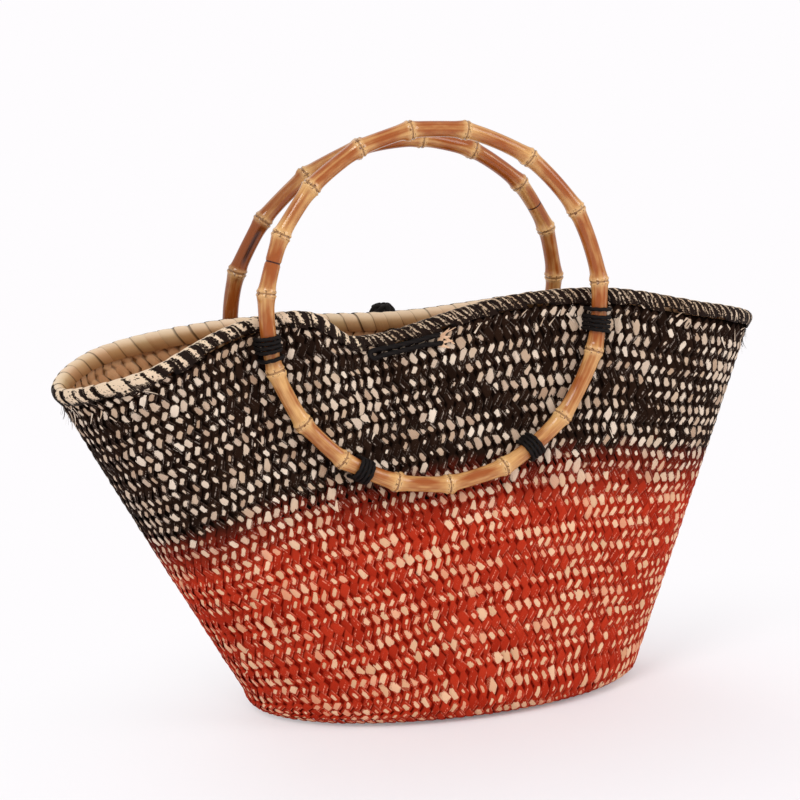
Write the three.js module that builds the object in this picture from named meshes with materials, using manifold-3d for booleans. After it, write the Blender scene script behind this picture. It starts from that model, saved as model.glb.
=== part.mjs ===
// Straw handbag: an oval basket of sewn palm-leaf plait with two bamboo ring handles.
// Millimetres, +Z up, front towards -Y. The origin is on the floor under the middle of the bag.
import * as THREE from 'three';
import { mergeVertices } from 'three/addons/utils/BufferGeometryUtils.js';
import Module from 'manifold-3d';

const wasm = await Module();
wasm.setup();

// Driving dimensions: the basket
const BASE_HALF_LENGTH = 131;
const BASE_HALF_DEPTH = 68;
const BASE_SHIFT = 20; // the foot stands a little right of the mouth
const CORNER = 10; // round turn from the bottom into the wall
const PLAIT = 4; // thickness of the sewn plait
const BELLY = 1; // how far the wall swells between foot and rim
const BLACK_HEIGHT = 144; // the wall is black above this height, at the middle of the front
const BLACK_TILT = 16; // the edge of the black lies higher at the right end and lower at the left

// Driving dimensions: the rim, all at the middle of its roll
const RIM_HALF_LENGTH = 228;
const FRONT_HEIGHT = 256; // at the front handle
const BACK_HEIGHT = 243; // at the back handle
const BACK_SAG = 4;
const LEFT_HEIGHT = 216;
const RIGHT_HEIGHT = 225;
const MOUTH_HALF_DEPTH = 26; // between the handles
const LEFT_HALF_DEPTH = 49;
const RIGHT_HALF_DEPTH = 30;
const PINCH_X = -45; // the dent in the front rim
const PINCH_DROP = 22;
const PINCH_INSET = 11;
const PINCH_LEFT = 22;
const PINCH_RIGHT = 62;
const BINDING = 2;
const SKIRT = 5; // the binding reaches this far down from the middle of the roll

// Driving dimensions: the handles
const RING_RADIUS = 109; // to the middle of the cane
const CANE_RADIUS = 5.2;
const NODE_SWELL = 0.9;
const NODE_LENGTH = 8;
const RING_RISE = 2.5; // the ring's middle above the rim
const DOWEL_RADIUS = 1.5;
const DOWEL_LENGTH = 24;
const FRONT_NODES = [4, 29, 53, 77, 96, 114, 134, 152, 171, 196, 215, 233, 253, 271, 291, 317, 341];
const BACK_NODES = [5, 23, 43, 65, 84, 105, 125, 145, 164, 198, 215, 232, 252, 270, 290, 314, 338];
const FRONT_JOINT = 161; // where the ends of the cane meet, in degrees round the ring
const BACK_JOINT = 33;

// Driving dimensions: cord, lashings, button and closing loop
const CORD_RADIUS = 1;
const CORD_PITCH = 2.5;
const CORD_STEP = 5; // the wider step to the single turn of an upper lashing
const TURNS = 4;
const UNDER_SKIRT = 1.2; // cords pass through the wall this far under the binding
const FOOT_LEFT = 241;
const FOOT_RIGHT = 302.5;
const KNOT_RADIUS = 2.6;
const BUTTON_RADIUS = 9;
const BUTTON_X = -7;
const BUTTON_DROP = 5;
const SHANK_RADIUS = 1.5;
const LOOP_RADIUS = 1.3;
const LOOP_X = 5;
const LOOP_SPREAD = 5; // between the two strands where they leave the wall
const LOOP_OFF = 0.6; // between the loop and the wall that it lies on

const GAP = 0.3; // clearance between touching pieces
const CORE_GAP = 0.8; // between the wall's top edge and the core, where the rim bends
const CORE_RADIUS = PLAIT / 2;
const BINDING_GAP = 0.7; // between the wall and the inside of the binding, on the bends
const ROLL = PLAIT / 2 + BINDING_GAP + BINDING; // half the thickness of the finished rim

const TURN = 2 * Math.PI;
const rad = THREE.MathUtils.degToRad;
const mix = THREE.MathUtils.lerp;
const vec = (x, y, z) => new THREE.Vector3(x, y, z);

// Materials
const colour = (hex, roughness) => new THREE.MeshStandardMaterial({ color: hex, roughness, metalness: 0 });
const materials = {
  red: colour(0xa81c14, 0.75),
  black: colour(0x17151a, 0.7),
  straw: colour(0xc9a878, 0.8),
  bamboo: colour(0xb57a36, 0.35),
  wood: colour(0xc7a272, 0.7),
  cord: colour(0x121113, 0.85),
};

// Closed meshes
// A closed geometry from points and triangles, turned so that its faces point out.
function closed(points, faces) {
  let volume = 0;
  for (let i = 0; i < faces.length; i += 3) {
    const [a, b, c] = [points[faces[i]], points[faces[i + 1]], points[faces[i + 2]]];
    volume += a.dot(b.clone().cross(c));
  }
  const order = volume < 0 ? [...faces].reverse() : faces;
  const geometry = new THREE.BufferGeometry();
  geometry.setAttribute('position', new THREE.Float32BufferAttribute(points.flatMap((p) => p.toArray()), 3));
  geometry.setIndex(order);
  geometry.computeVertexNormals();
  return geometry;
}

// The quads between each section and the next one, as triangles.
function bands(sections, wraps) {
  const count = sections.length;
  const size = sections[0].length;
  const faces = [];
  for (let i = 0; i < (wraps ? count : count - 1); i++) {
    for (let j = 0; j < size; j++) {
      const a = i * size + j;
      const b = i * size + ((j + 1) % size);
      const c = ((i + 1) % count) * size + j;
      const d = ((i + 1) % count) * size + ((j + 1) % size);
      faces.push(a, b, c, b, d, c);
    }
  }
  return faces;
}

// A hoop: sections that come back round to the first.
const hoop = (sections) => closed(sections.flat(), bands(sections, true));

// A rod: sections with a flat cap at each end.
function rod(sections) {
  const size = sections[0].length;
  const points = sections.flat();
  const faces = bands(sections, false);
  for (const [first, turned] of [[0, false], [(sections.length - 1) * size, true]]) {
    const middle = vec(0, 0, 0);
    for (let j = 0; j < size; j++) middle.addScaledVector(points[first + j], 1 / size);
    const tip = points.push(middle) - 1;
    for (let j = 0; j < size; j++) {
      const a = first + j;
      const b = first + ((j + 1) % size);
      if (turned) faces.push(a, b, tip);
      else faces.push(b, a, tip);
    }
  }
  return closed(points, faces);
}

// A round tube along points, with its sections kept from twisting.
function tube(path, radius, sides) {
  const ways = path.map((p, i) => {
    const before = path[Math.max(i - 1, 0)];
    const after = path[Math.min(i + 1, path.length - 1)];
    const into = p.clone().sub(before).normalize();
    const out = after.clone().sub(p).normalize();
    return into.add(out).normalize();
  });
  let side = vec(0.31, 0.52, 0.79).cross(ways[0]).normalize();
  const sections = path.map((p, i) => {
    side = side.clone().addScaledVector(ways[i], -side.dot(ways[i])).normalize();
    const up = ways[i].clone().cross(side);
    return Array.from({ length: sides }, (_, j) => {
      const a = (j / sides) * TURN;
      return p.clone().addScaledVector(side, radius * Math.cos(a)).addScaledVector(up, radius * Math.sin(a));
    });
  });
  return rod(sections);
}

// Cuts
function solid(geometry) {
  const bare = geometry.clone();
  bare.deleteAttribute('normal');
  bare.deleteAttribute('uv');
  const merged = mergeVertices(bare, 1e-4);
  const vertProperties = new Float32Array(merged.attributes.position.array);
  const triVerts = new Uint32Array(merged.index.array);
  return new wasm.Manifold(new wasm.Mesh({ numProp: 3, vertProperties, triVerts }));
}

function cut(geometry, tools) {
  let result = solid(geometry);
  for (const tool of tools) result = result.subtract(solid(tool));
  const mesh = result.getMesh();
  const out = new THREE.BufferGeometry();
  out.setAttribute('position', new THREE.Float32BufferAttribute(mesh.vertProperties, 3));
  out.setIndex([...mesh.triVerts]);
  out.computeVertexNormals();
  return out;
}

// The rim's line
// Depth and height at a few angles round the bag: 0 is the right end and 90 the back.
const stations = [
  [0, 0, RIGHT_HEIGHT],
  [35, RIGHT_HALF_DEPTH, mix(RIGHT_HEIGHT, BACK_HEIGHT, 0.3)],
  [62, MOUTH_HALF_DEPTH, BACK_HEIGHT],
  [90, MOUTH_HALF_DEPTH - 1, BACK_HEIGHT - BACK_SAG],
  [118, MOUTH_HALF_DEPTH, BACK_HEIGHT],
  [143, LEFT_HALF_DEPTH, mix(LEFT_HEIGHT, BACK_HEIGHT, 0.45)],
  [180, 0, LEFT_HEIGHT],
  [213, -LEFT_HALF_DEPTH, mix(LEFT_HEIGHT, FRONT_HEIGHT, 0.45)],
  [241, -MOUTH_HALF_DEPTH, FRONT_HEIGHT],
  [270, 1 - MOUTH_HALF_DEPTH, FRONT_HEIGHT],
  [299, -MOUTH_HALF_DEPTH, FRONT_HEIGHT],
  [325, 2 - RIGHT_HALF_DEPTH, mix(RIGHT_HEIGHT, FRONT_HEIGHT, 0.5)],
];

// A smooth value between the stations, round and round.
function station(degrees, column) {
  const count = stations.length;
  const at = ((degrees % 360) + 360) % 360;
  let i = count - 1;
  while (stations[i][0] > at) i--;
  const angle = (k) => stations[((k % count) + count) % count][0] + 360 * Math.floor(k / count);
  const value = (k) => stations[((k % count) + count) % count][column];
  const slope = (k) => (value(k + 1) - value(k - 1)) / (angle(k + 1) - angle(k - 1));
  const span = angle(i + 1) - angle(i);
  const t = (at - angle(i)) / span;
  const from = value(i) * (1 + 2 * t) * (1 - t) ** 2 + slope(i) * span * t * (1 - t) ** 2;
  return from + value(i + 1) * t * t * (3 - 2 * t) + slope(i + 1) * span * t * t * (t - 1);
}

// How far the dent in the front rim moves it, as a vector.
function pinch(degrees) {
  if (Math.sin(rad(degrees)) > 0) return vec(0, 0, 0);
  const off = RIM_HALF_LENGTH * Math.cos(rad(degrees)) - PINCH_X;
  const share = Math.exp(-((off / (off < 0 ? PINCH_LEFT : PINCH_RIGHT)) ** 2));
  return vec(0, PINCH_INSET * share, -PINCH_DROP * share);
}

const rimSmooth = (degrees) =>
  vec(RIM_HALF_LENGTH * Math.cos(rad(degrees)), station(degrees, 1), station(degrees, 2));
const rim = (degrees) => rimSmooth(degrees).add(pinch(degrees));

// The wall
// A point on the middle of the plait: share 0 is at the bottom mat and 1 at the rim core.
const TURN_SHARE = 0.08; // the part of the wall that turns up from the bottom
const TOP_SHARE = 0.96; // above this the wall runs straight up into the rim binding
function wall(degrees, share) {
  const c = Math.cos(rad(degrees));
  const s = Math.sin(rad(degrees));
  const bend = Math.min(share / TURN_SHARE, 1) * (Math.PI / 2);
  const inset = CORNER * (1 - Math.sin(bend));
  const foot = vec(BASE_SHIFT + (BASE_HALF_LENGTH - inset) * c, (BASE_HALF_DEPTH - inset) * s, 0);
  foot.z = PLAIT / 2 + CORNER * (1 - Math.cos(bend));
  if (share <= TURN_SHARE) return foot;
  if (share > TOP_SHARE) {
    const below = wall(degrees, TOP_SHARE);
    const top = rim(degrees);
    const reach = 1 - (CORE_RADIUS + CORE_GAP) / top.distanceTo(below);
    return below.lerp(top, (reach * (share - TOP_SHARE)) / (1 - TOP_SHARE));
  }
  const t = (share - TURN_SHARE) / (1 - TURN_SHARE);
  const end = rimSmooth(degrees);
  const swell = vec(c / BASE_HALF_LENGTH, s / BASE_HALF_DEPTH, 0).normalize();
  const point = foot.lerp(end, t).addScaledVector(swell, BELLY * 4 * t * (1 - t));
  return point.addScaledVector(pinch(degrees), t ** 4);
}

// The same, moved off the middle of the plait: half the plait out is the outside.
function skin(degrees, share, off) {
  if (share >= TOP_SHARE) return wall(degrees, share).addScaledVector(rimFrame(degrees).out, off);
  const around = wall(degrees + 0.05, share).sub(wall(degrees - 0.05, share));
  const low = Math.max(share - 0.002, 0);
  const up = wall(degrees, Math.min(low + 0.004, 1)).sub(wall(degrees, low));
  return wall(degrees, share).addScaledVector(around.cross(up).normalize(), off);
}

// Where the middle of the front or back wall stands at an x and a height.
function wallAt(x, z, side) {
  let [low, high] = [TURN_SHARE, 1];
  let degrees = 0;
  for (let i = 0; i < 30; i++) {
    const share = (low + high) / 2;
    let [left, right] = [180, side < 0 ? 360 : 0];
    for (let j = 0; j < 30; j++) {
      degrees = (left + right) / 2;
      if (wall(degrees, share).x < x) left = degrees;
      else right = degrees;
    }
    if (wall(degrees, share).z < z) low = share;
    else high = share;
  }
  return { degrees, share: low, y: wall(degrees, low).y };
}

const wallLength = wall(270, 1).distanceTo(wall(270, TURN_SHARE)) / (1 - TURN_SHARE);
const frontShare = wallAt(0, BLACK_HEIGHT, -1).share;
// Where the red ends and the black begins at an angle.
const blackShare = (degrees) => frontShare + (BLACK_TILT / wallLength) * Math.cos(rad(degrees));

// The angles of all sections round the bag, closer together at the dent.
const ANGLES = [];
for (let degrees = 0; degrees < 360; degrees += degrees >= 240 && degrees < 285 ? 2.5 : 5) ANGLES.push(degrees);

// A band of the wall: its levels are the shares at an angle, from the lowest to the highest.
function wallBand(levels) {
  const sections = ANGLES.map((degrees) => {
    const outside = levels(degrees).map((share) => skin(degrees, share, PLAIT / 2));
    const inside = levels(degrees).map((share) => skin(degrees, share, -PLAIT / 2));
    return [...outside, ...inside.reverse()];
  });
  return hoop(sections);
}

function bottomMat() {
  const ring = (inset, z) =>
    ANGLES.map((degrees) => {
      const x = BASE_SHIFT + (BASE_HALF_LENGTH - inset) * Math.cos(rad(degrees));
      return vec(x, (BASE_HALF_DEPTH - inset) * Math.sin(rad(degrees)), z);
    });
  return rod([ring(CORNER + GAP, 0), ring(CORNER + GAP, PLAIT)]);
}

// The rim roll: its line, the way out of the bag and the way up the wall.
function rimFrame(degrees) {
  const at = rim(degrees);
  const along = rim(degrees + 0.1).sub(rim(degrees - 0.1)).normalize();
  const up = at.clone().sub(wall(degrees, TOP_SHARE));
  up.addScaledVector(along, -up.dot(along)).normalize();
  const out = along.clone().cross(up).normalize();
  return { at, out, up, place: (o, u) => at.clone().addScaledVector(out, o).addScaledVector(up, u) };
}

const rimSections = (outline) =>
  ANGLES.map((degrees) => {
    const frame = rimFrame(degrees);
    return outline.map(([o, u]) => frame.place(o, u));
  });

const arc = (radius, steps, from, to) =>
  Array.from({ length: steps + 1 }, (_, i) => {
    const a = rad(mix(from, to, i / steps));
    return [radius * Math.cos(a), radius * Math.sin(a)];
  });

function rimBinding() {
  const inner = PLAIT / 2 + BINDING_GAP;
  const outside = [[ROLL, -SKIRT], ...arc(ROLL, 6, 0, 180), [-ROLL, -SKIRT]];
  const inside = [[-inner, -SKIRT], ...arc(inner, 3, 180, 0), [inner, -SKIRT]];
  return hoop(rimSections([...outside, ...inside]));
}

const rimCore = () => hoop(rimSections(arc(CORE_RADIUS, 6, 0, 360).slice(0, 6)));

// The handles
// Where a ring stands: it rests on the rim roll, and its foot on the wall.
function ringPlace(side) {
  let contact = 0;
  const levels = [];
  const [first, last] = side < 0 ? [180, 360] : [0, 180];
  for (let degrees = first; degrees <= last; degrees += 0.25) {
    const frame = rimFrame(degrees);
    const beside = Math.abs(Math.abs(frame.at.x) - RING_RADIUS);
    if (beside < CANE_RADIUS + 1) contact = Math.max(contact, Math.abs(frame.place(ROLL, 0).y));
    if (beside < 1) levels.push(frame.at.z);
  }
  contact += GAP + CANE_RADIUS;
  const level = Math.max(...levels);
  const height = level + RING_RISE;
  const clear = (lean) => {
    let least = Infinity;
    for (let a = 200; a <= 340; a += 4) {
      const x = RING_RADIUS * Math.cos(rad(a));
      const z = height + RING_RADIUS * Math.sin(rad(a)) * Math.cos(lean);
      const depth = contact + (level - z) * Math.tan(lean) - Math.abs(wallAt(x, z, side).y);
      least = Math.min(least, depth * Math.cos(lean) - PLAIT / 2 - CANE_RADIUS - NODE_SWELL);
    }
    return least;
  };
  let [low, high] = [0, rad(30)];
  for (let i = 0; i < 14; i++) {
    const lean = (low + high) / 2;
    if (clear(lean) < GAP) low = lean;
    else high = lean;
  }
  const lean = high;
  const middle = vec(0, side * (contact - RING_RISE * Math.tan(lean)), height);
  const up = vec(0, -side * Math.sin(lean), Math.cos(lean));
  const out = vec(0, side * Math.cos(lean), Math.sin(lean));
  const at = (degrees, radius, depth) =>
    middle.clone()
      .addScaledVector(vec(1, 0, 0), radius * Math.cos(rad(degrees)))
      .addScaledVector(up, radius * Math.sin(rad(degrees)))
      .addScaledVector(out, -depth);
  return { side, lean, level, contact, out, at };
}

const CANE_SIDES = 8;
function caneSection(place, degrees, radius) {
  return Array.from({ length: CANE_SIDES }, (_, j) => {
    const a = (j / CANE_SIDES) * TURN;
    return place.at(degrees, RING_RADIUS + radius * Math.cos(a), radius * Math.sin(a));
  });
}

const arcDegrees = (length) => THREE.MathUtils.radToDeg(length / RING_RADIUS);

// A bent cane with a swelling at each node and a bore in each of its butted ends.
function cane(place, nodes, joint) {
  const half = arcDegrees(GAP / 2);
  const deep = arcDegrees(DOWEL_LENGTH / 2 + GAP);
  const bore = DOWEL_RADIUS + GAP;
  const node = arcDegrees(NODE_LENGTH / 2);
  const turned = nodes.map((n) => ((n - joint + 360) % 360)).sort((a, b) => a - b);
  const rings = [[half + deep, bore], [half, bore], [half, CANE_RADIUS]];
  turned.forEach((n, i) => {
    rings.push([n - node, CANE_RADIUS], [n, CANE_RADIUS + NODE_SWELL], [n + node, CANE_RADIUS]);
    const next = i + 1 < turned.length ? turned[i + 1] - node : 360 - half;
    for (const t of [0.33, 0.67]) rings.push([mix(n + node, next, t), CANE_RADIUS]);
  });
  rings.push([360 - half, CANE_RADIUS], [360 - half, bore], [360 - half - deep, bore]);
  return rod(rings.map(([a, r]) => caneSection(place, joint + a, r)));
}

function dowel(place, joint) {
  const half = arcDegrees(DOWEL_LENGTH / 2);
  return rod([-1, 0, 1].map((k) => caneSection(place, joint + k * half, DOWEL_RADIUS)));
}

// The lashings
const LASH = CANE_RADIUS + GAP + CORD_RADIUS; // from the cane's middle to the cord's

// How deep behind the cane's middle the cord crosses the inside of the wall.
function crossing(place, turns) {
  let depth = 0;
  for (const degrees of turns) {
    for (const across of [-LASH, 0, LASH]) {
      const p = place.at(degrees, RING_RADIUS + across, 0);
      const back = (Math.abs(p.y) - Math.abs(wallAt(p.x, p.z, place.side).y)) * Math.cos(place.lean);
      depth = Math.max(depth, back);
    }
  }
  return depth + PLAIT / 2 + 2 * GAP + CORD_RADIUS;
}

// One cord: each turn goes out through the wall, round the cane and in again, then crosses over inside.
function lashing(place, turns) {
  const run = crossing(place, turns);
  const end = run + CORD_RADIUS + GAP;
  const path = [];
  turns.forEach((degrees, i) => {
    const point = (across, depth) => place.at(degrees, RING_RADIUS + across, depth);
    const round = CORD_RADIUS * 1.2;
    if (i === 0) path.push(point(-LASH, end));
    else path.push(point(-LASH + round, run), point(-LASH, run - round));
    for (const [o, u] of arc(LASH, 6, 180, 0)) path.push(point(o, -u));
    if (i === turns.length - 1) path.push(point(LASH, end));
    else path.push(point(LASH, run - round), point(LASH - round, run));
  });
  return { path, knotDepth: end + GAP + KNOT_RADIUS };
}

// The least gap between stretches of a cord that lie apart along it.
function leastGap(path, radius) {
  const curve = new THREE.CurvePath();
  for (let i = 1; i < path.length; i++) curve.add(new THREE.LineCurve3(path[i - 1], path[i]));
  const length = curve.getLength();
  const count = Math.ceil(length / 0.5);
  const points = curve.getSpacedPoints(count);
  const apart = Math.ceil((8 * radius) / (length / count));
  let least = Infinity;
  for (let i = 0; i < points.length; i++) {
    for (let j = i + apart; j < points.length; j++) least = Math.min(least, points[i].distanceTo(points[j]));
  }
  return least - 2 * radius;
}

// The knot that ties a lashing's two ends inside the bag.
function lashingKnot(place, turns, depth) {
  const from = place.at(turns[0], RING_RADIUS - LASH, depth);
  const to = place.at(turns[turns.length - 1], RING_RADIUS + LASH, depth);
  return capsule(from, to, KNOT_RADIUS);
}

function capsule(from, to, radius) {
  const way = to.clone().sub(from);
  const geometry = new THREE.CapsuleGeometry(radius, way.length(), 2, 7);
  geometry.applyQuaternion(new THREE.Quaternion().setFromUnitVectors(vec(0, 1, 0), way.clone().normalize()));
  const middle = from.clone().lerp(to, 0.5);
  return geometry.translate(middle.x, middle.y, middle.z);
}

// The two slots in the wall that a lashing's turns pass through.
function lashingSlots(place, turns) {
  const middle = (turns[0] + turns[turns.length - 1]) / 2;
  const length = (rad(Math.abs(turns[0] - turns[turns.length - 1])) * (RING_RADIUS + LASH)) + 2 * CORD_RADIUS;
  return [-LASH, LASH].map((across) => {
    const width = 2 * (CORD_RADIUS + GAP) + 0.2;
    const box = new THREE.BoxGeometry(width, length + 2 * GAP, 8 * PLAIT);
    const axes = [
      place.at(middle, 1, 0).sub(place.at(middle, 0, 0)),
      place.at(middle + 90, 1, 0).sub(place.at(middle + 90, 0, 0)),
    ];
    const frame = new THREE.Matrix4().makeBasis(axes[0], axes[1], axes[0].clone().cross(axes[1]));
    const depth = crossing(place, turns) - CORD_RADIUS - PLAIT / 2;
    frame.setPosition(place.at(middle, RING_RADIUS + across, depth));
    return box.applyMatrix4(frame);
  });
}

// The angles of the turns: at the rim, four together and one apart, and four at the foot.
function lashingTurns(place) {
  const drop = RING_RISE + SKIRT + UNDER_SKIRT + CORD_RADIUS;
  const start = THREE.MathUtils.radToDeg(Math.asin(drop / RING_RADIUS));
  const pitch = arcDegrees(CORD_PITCH * (1 + LASH / RING_RADIUS));
  const step = arcDegrees(CORD_STEP);
  const row = (from, way) => Array.from({ length: TURNS }, (_, i) => from + way * i * pitch);
  const left = row(180 + start, 1);
  left.push(left[TURNS - 1] + step);
  const right = [360 - start, ...row(360 - start - step, -1)];
  const middle = ((TURNS - 1) / 2) * pitch;
  return {
    rim_left: left,
    rim_right: right,
    foot_left: row(FOOT_LEFT - middle, 1),
    foot_right: row(FOOT_RIGHT - middle, 1),
  };
}

// The button on the back
function rimAt(x, side) {
  const degrees = THREE.MathUtils.radToDeg(Math.acos(x / RIM_HALF_LENGTH));
  return rimFrame(side < 0 ? 360 - degrees : degrees);
}

const buttonSeat = rimAt(BUTTON_X, 1);
const shankDrop = SKIRT + UNDER_SKIRT + SHANK_RADIUS;
const buttonOut = ROLL + GAP + BUTTON_RADIUS;

// A ball knot with a crease down its middle.
function button() {
  const geometry = new THREE.SphereGeometry(BUTTON_RADIUS, 16, 10);
  const place = geometry.attributes.position;
  for (let i = 0; i < place.count; i++) {
    const p = vec().fromBufferAttribute(place, i);
    p.multiplyScalar(1 - 0.09 * Math.exp(-((p.x / (0.2 * BUTTON_RADIUS)) ** 2)));
    place.setXYZ(i, p.x, p.y, p.z);
  }
  const at = buttonSeat.place(buttonOut, -BUTTON_DROP);
  return geometry.translate(at.x, at.y, at.z);
}

const shankNear = Math.abs(shankDrop - BUTTON_DROP) - SHANK_RADIUS;
const shankEnd = buttonOut - Math.sqrt(BUTTON_RADIUS ** 2 - Math.max(shankNear, 0) ** 2) - GAP;
const shankPath = [shankEnd, 0, -PLAIT / 2].map((o) => buttonSeat.place(o, -shankDrop));
const shankHole = [4 * PLAIT, -4 * PLAIT].map((o) => buttonSeat.place(o, -shankDrop));

function buttonKnot() {
  const depth = -PLAIT / 2 - GAP - KNOT_RADIUS;
  const ends = [-KNOT_RADIUS, KNOT_RADIUS].map((x) => buttonSeat.place(depth, -shankDrop).add(vec(x, 0, 0)));
  return capsule(ends[0], ends[1], KNOT_RADIUS);
}

// The closing loop on the front
const loopSeat = rimAt(LOOP_X, -1);
const loopDrop = SKIRT + UNDER_SKIRT + LOOP_RADIUS + 2 * GAP;

// A point of the loop, from its place along and down the wall and how far it stands off it.
function onFront(x, z, off) {
  const at = wallAt(x, z, -1);
  return skin(at.degrees, at.share, PLAIT / 2 + off);
}

const loopLie = LOOP_RADIUS + LOOP_OFF;
const loopTop = loopSeat.place(0, -loopDrop);
const loopLow = loopSeat.place(0, -loopDrop - LOOP_SPREAD);
const loopEnds = [loopTop, loopLow].map((p) => onFront(p.x, p.z, -PLAIT));
// The lie of the loop on the wall: left of where it comes out, and up or down from there.
const LOOP_LIE = [
  [3, -0.4], [8, -1.6], [13, -2.9], [18, -4.1], [23, -5.2], [28, -6.1], [33, -6.8], [38, -7.5],
  [41, -7.9], [43.3, -8.8], [44.2, -10.4], [43.1, -11.9], [40.8, -12.2], [38, -11.5], [33, -10.3],
  [28, -9.4], [23, -8.5], [18, -7.4], [13, -6.3], [8, -5.4], [3, -5.1],
];

function loopRoute() {
  const lie = LOOP_LIE.map(([left, up]) => onFront(loopTop.x - left, loopTop.z + up, loopLie));
  const near = [loopTop, loopLow].map((p) => onFront(p.x, p.z, 0.2));
  return [loopEnds[0], near[0], ...lie, near[1], loopEnds[1]];
}

function closingLoop() {
  const sides = 8;
  const outline = arc(LOOP_RADIUS, sides, 0, 360).slice(0, sides).map(([x, y]) => new THREE.Vector2(x, y));
  const curve = new THREE.CatmullRomCurve3(loopRoute(), false, 'centripetal');
  return new THREE.ExtrudeGeometry(new THREE.Shape(outline), { steps: 64, extrudePath: curve, bevelEnabled: false });
}

function loopKnot() {
  const depth = -PLAIT - GAP - KNOT_RADIUS;
  const ends = [loopTop, loopLow].map((p) => onFront(p.x, p.z, depth));
  return capsule(ends[0], ends[1], KNOT_RADIUS);
}

const loopHoles = [loopTop, loopLow].map((p) =>
  tube([onFront(p.x, p.z, 1.5 * PLAIT), onFront(p.x, p.z, -2 * PLAIT)], LOOP_RADIUS + 2 * GAP, 12));

// The assembly
const bag = new THREE.Group();
function add(name, geometry, material) {
  const mesh = new THREE.Mesh(geometry, material.clone());
  mesh.name = name;
  bag.add(mesh);
}

const front = ringPlace(-1);
const back = ringPlace(1);
const slots = [];
for (const [name, place, nodes, joint] of [
  ['front', front, FRONT_NODES, FRONT_JOINT],
  ['back', back, BACK_NODES, BACK_JOINT],
]) {
  add(`${name}_handle_cane`, cane(place, nodes, joint), materials.bamboo);
  add(`${name}_handle_dowel`, dowel(place, joint), materials.wood);
  for (const [spot, turns] of Object.entries(lashingTurns(place))) {
    const { path, knotDepth } = lashing(place, turns);
    console.log(`${name} ${spot}: least gap of the cord to itself ${leastGap(path, CORD_RADIUS).toFixed(2)} mm`);
    add(`${name}_lashing_${spot}`, tube(path, CORD_RADIUS, 5), materials.cord);
    add(`${name}_knot_${spot}`, lashingKnot(place, turns, knotDepth), materials.cord);
    slots.push(...lashingSlots(place, turns));
  }
}

const seam = GAP / 2 / wallLength;
const redTurn = [0, 0.35, 0.7].map((t) => t * TURN_SHARE);
const redLevels = (degrees) => {
  const top = blackShare(degrees) - seam;
  return [...redTurn, ...[0, 0.25, 0.5, 0.75, 1].map((t) => mix(TURN_SHARE, top, t))];
};
const blackLevels = (degrees) => {
  const low = blackShare(degrees) + seam;
  return [...[0, 0.25, 0.5, 0.75, 1].map((t) => mix(low, TOP_SHARE, t)), 1];
};
const holes = [tube(shankHole, SHANK_RADIUS + GAP, 12), ...loopHoles];
add('bottom_plait', bottomMat(), materials.red);
add('wall_plait_red', cut(wallBand(redLevels), slots), materials.red);
add('wall_plait_black', cut(wallBand(blackLevels), [...slots, ...holes]), materials.black);
add('rim_core', rimCore(), materials.straw);
add('rim_binding', rimBinding(), materials.straw);
add('button', button(), materials.cord);
add('button_cord', tube(shankPath, SHANK_RADIUS, 8), materials.cord);
add('button_knot', buttonKnot(), materials.cord);
add('closing_loop', closingLoop(), materials.cord);
add('closing_loop_knot', loopKnot(), materials.cord);

export default bag;
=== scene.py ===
# Straw handbag: a basket of sewn palm-leaf plait, dyed red and black, with bamboo ring handles.
import math

import bpy
import numpy as np
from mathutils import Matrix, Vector


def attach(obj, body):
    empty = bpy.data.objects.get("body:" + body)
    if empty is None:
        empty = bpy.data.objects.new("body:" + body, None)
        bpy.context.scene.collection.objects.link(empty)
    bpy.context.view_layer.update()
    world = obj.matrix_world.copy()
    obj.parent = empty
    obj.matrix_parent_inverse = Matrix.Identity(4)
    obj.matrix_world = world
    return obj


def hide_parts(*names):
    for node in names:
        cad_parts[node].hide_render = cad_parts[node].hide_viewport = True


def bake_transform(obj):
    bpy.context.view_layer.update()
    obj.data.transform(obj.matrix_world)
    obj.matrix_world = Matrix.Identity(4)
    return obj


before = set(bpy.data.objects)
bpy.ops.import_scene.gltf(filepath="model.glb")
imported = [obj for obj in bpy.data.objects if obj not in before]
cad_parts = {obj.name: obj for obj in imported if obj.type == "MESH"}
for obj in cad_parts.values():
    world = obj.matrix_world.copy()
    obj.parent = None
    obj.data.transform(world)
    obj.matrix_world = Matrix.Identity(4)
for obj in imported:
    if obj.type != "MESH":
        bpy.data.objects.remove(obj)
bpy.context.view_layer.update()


# The camera
# It stands in front of the bag, a little to the left of it and above its rim, and looks at it
# through a long lens, so that the two rings stay nearly round.
VIEW_TURN, VIEW_RISE = math.radians(20.5), math.radians(15.0)
VIEW_DISTANCE = 2.0
VIEW_MIDDLE = Vector((-0.010, 0.0, 0.192))
SENSOR, LENS = 36, 144
level_part = math.cos(VIEW_RISE)
view_way = Vector((-math.sin(VIEW_TURN) * level_part, -math.cos(VIEW_TURN) * level_part, math.sin(VIEW_RISE)))
camera = bpy.data.objects.new("camera", bpy.data.cameras.new("camera"))
bpy.context.scene.collection.objects.link(camera)
camera.data.sensor_width = SENSOR
camera.data.lens = LENS
camera.location = VIEW_MIDDLE + VIEW_DISTANCE * view_way
camera.rotation_euler = view_way.to_track_quat("Z", "Y").to_euler()
bpy.context.scene.camera = camera
bpy.context.scene.view_settings.view_transform = "Standard"


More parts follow.
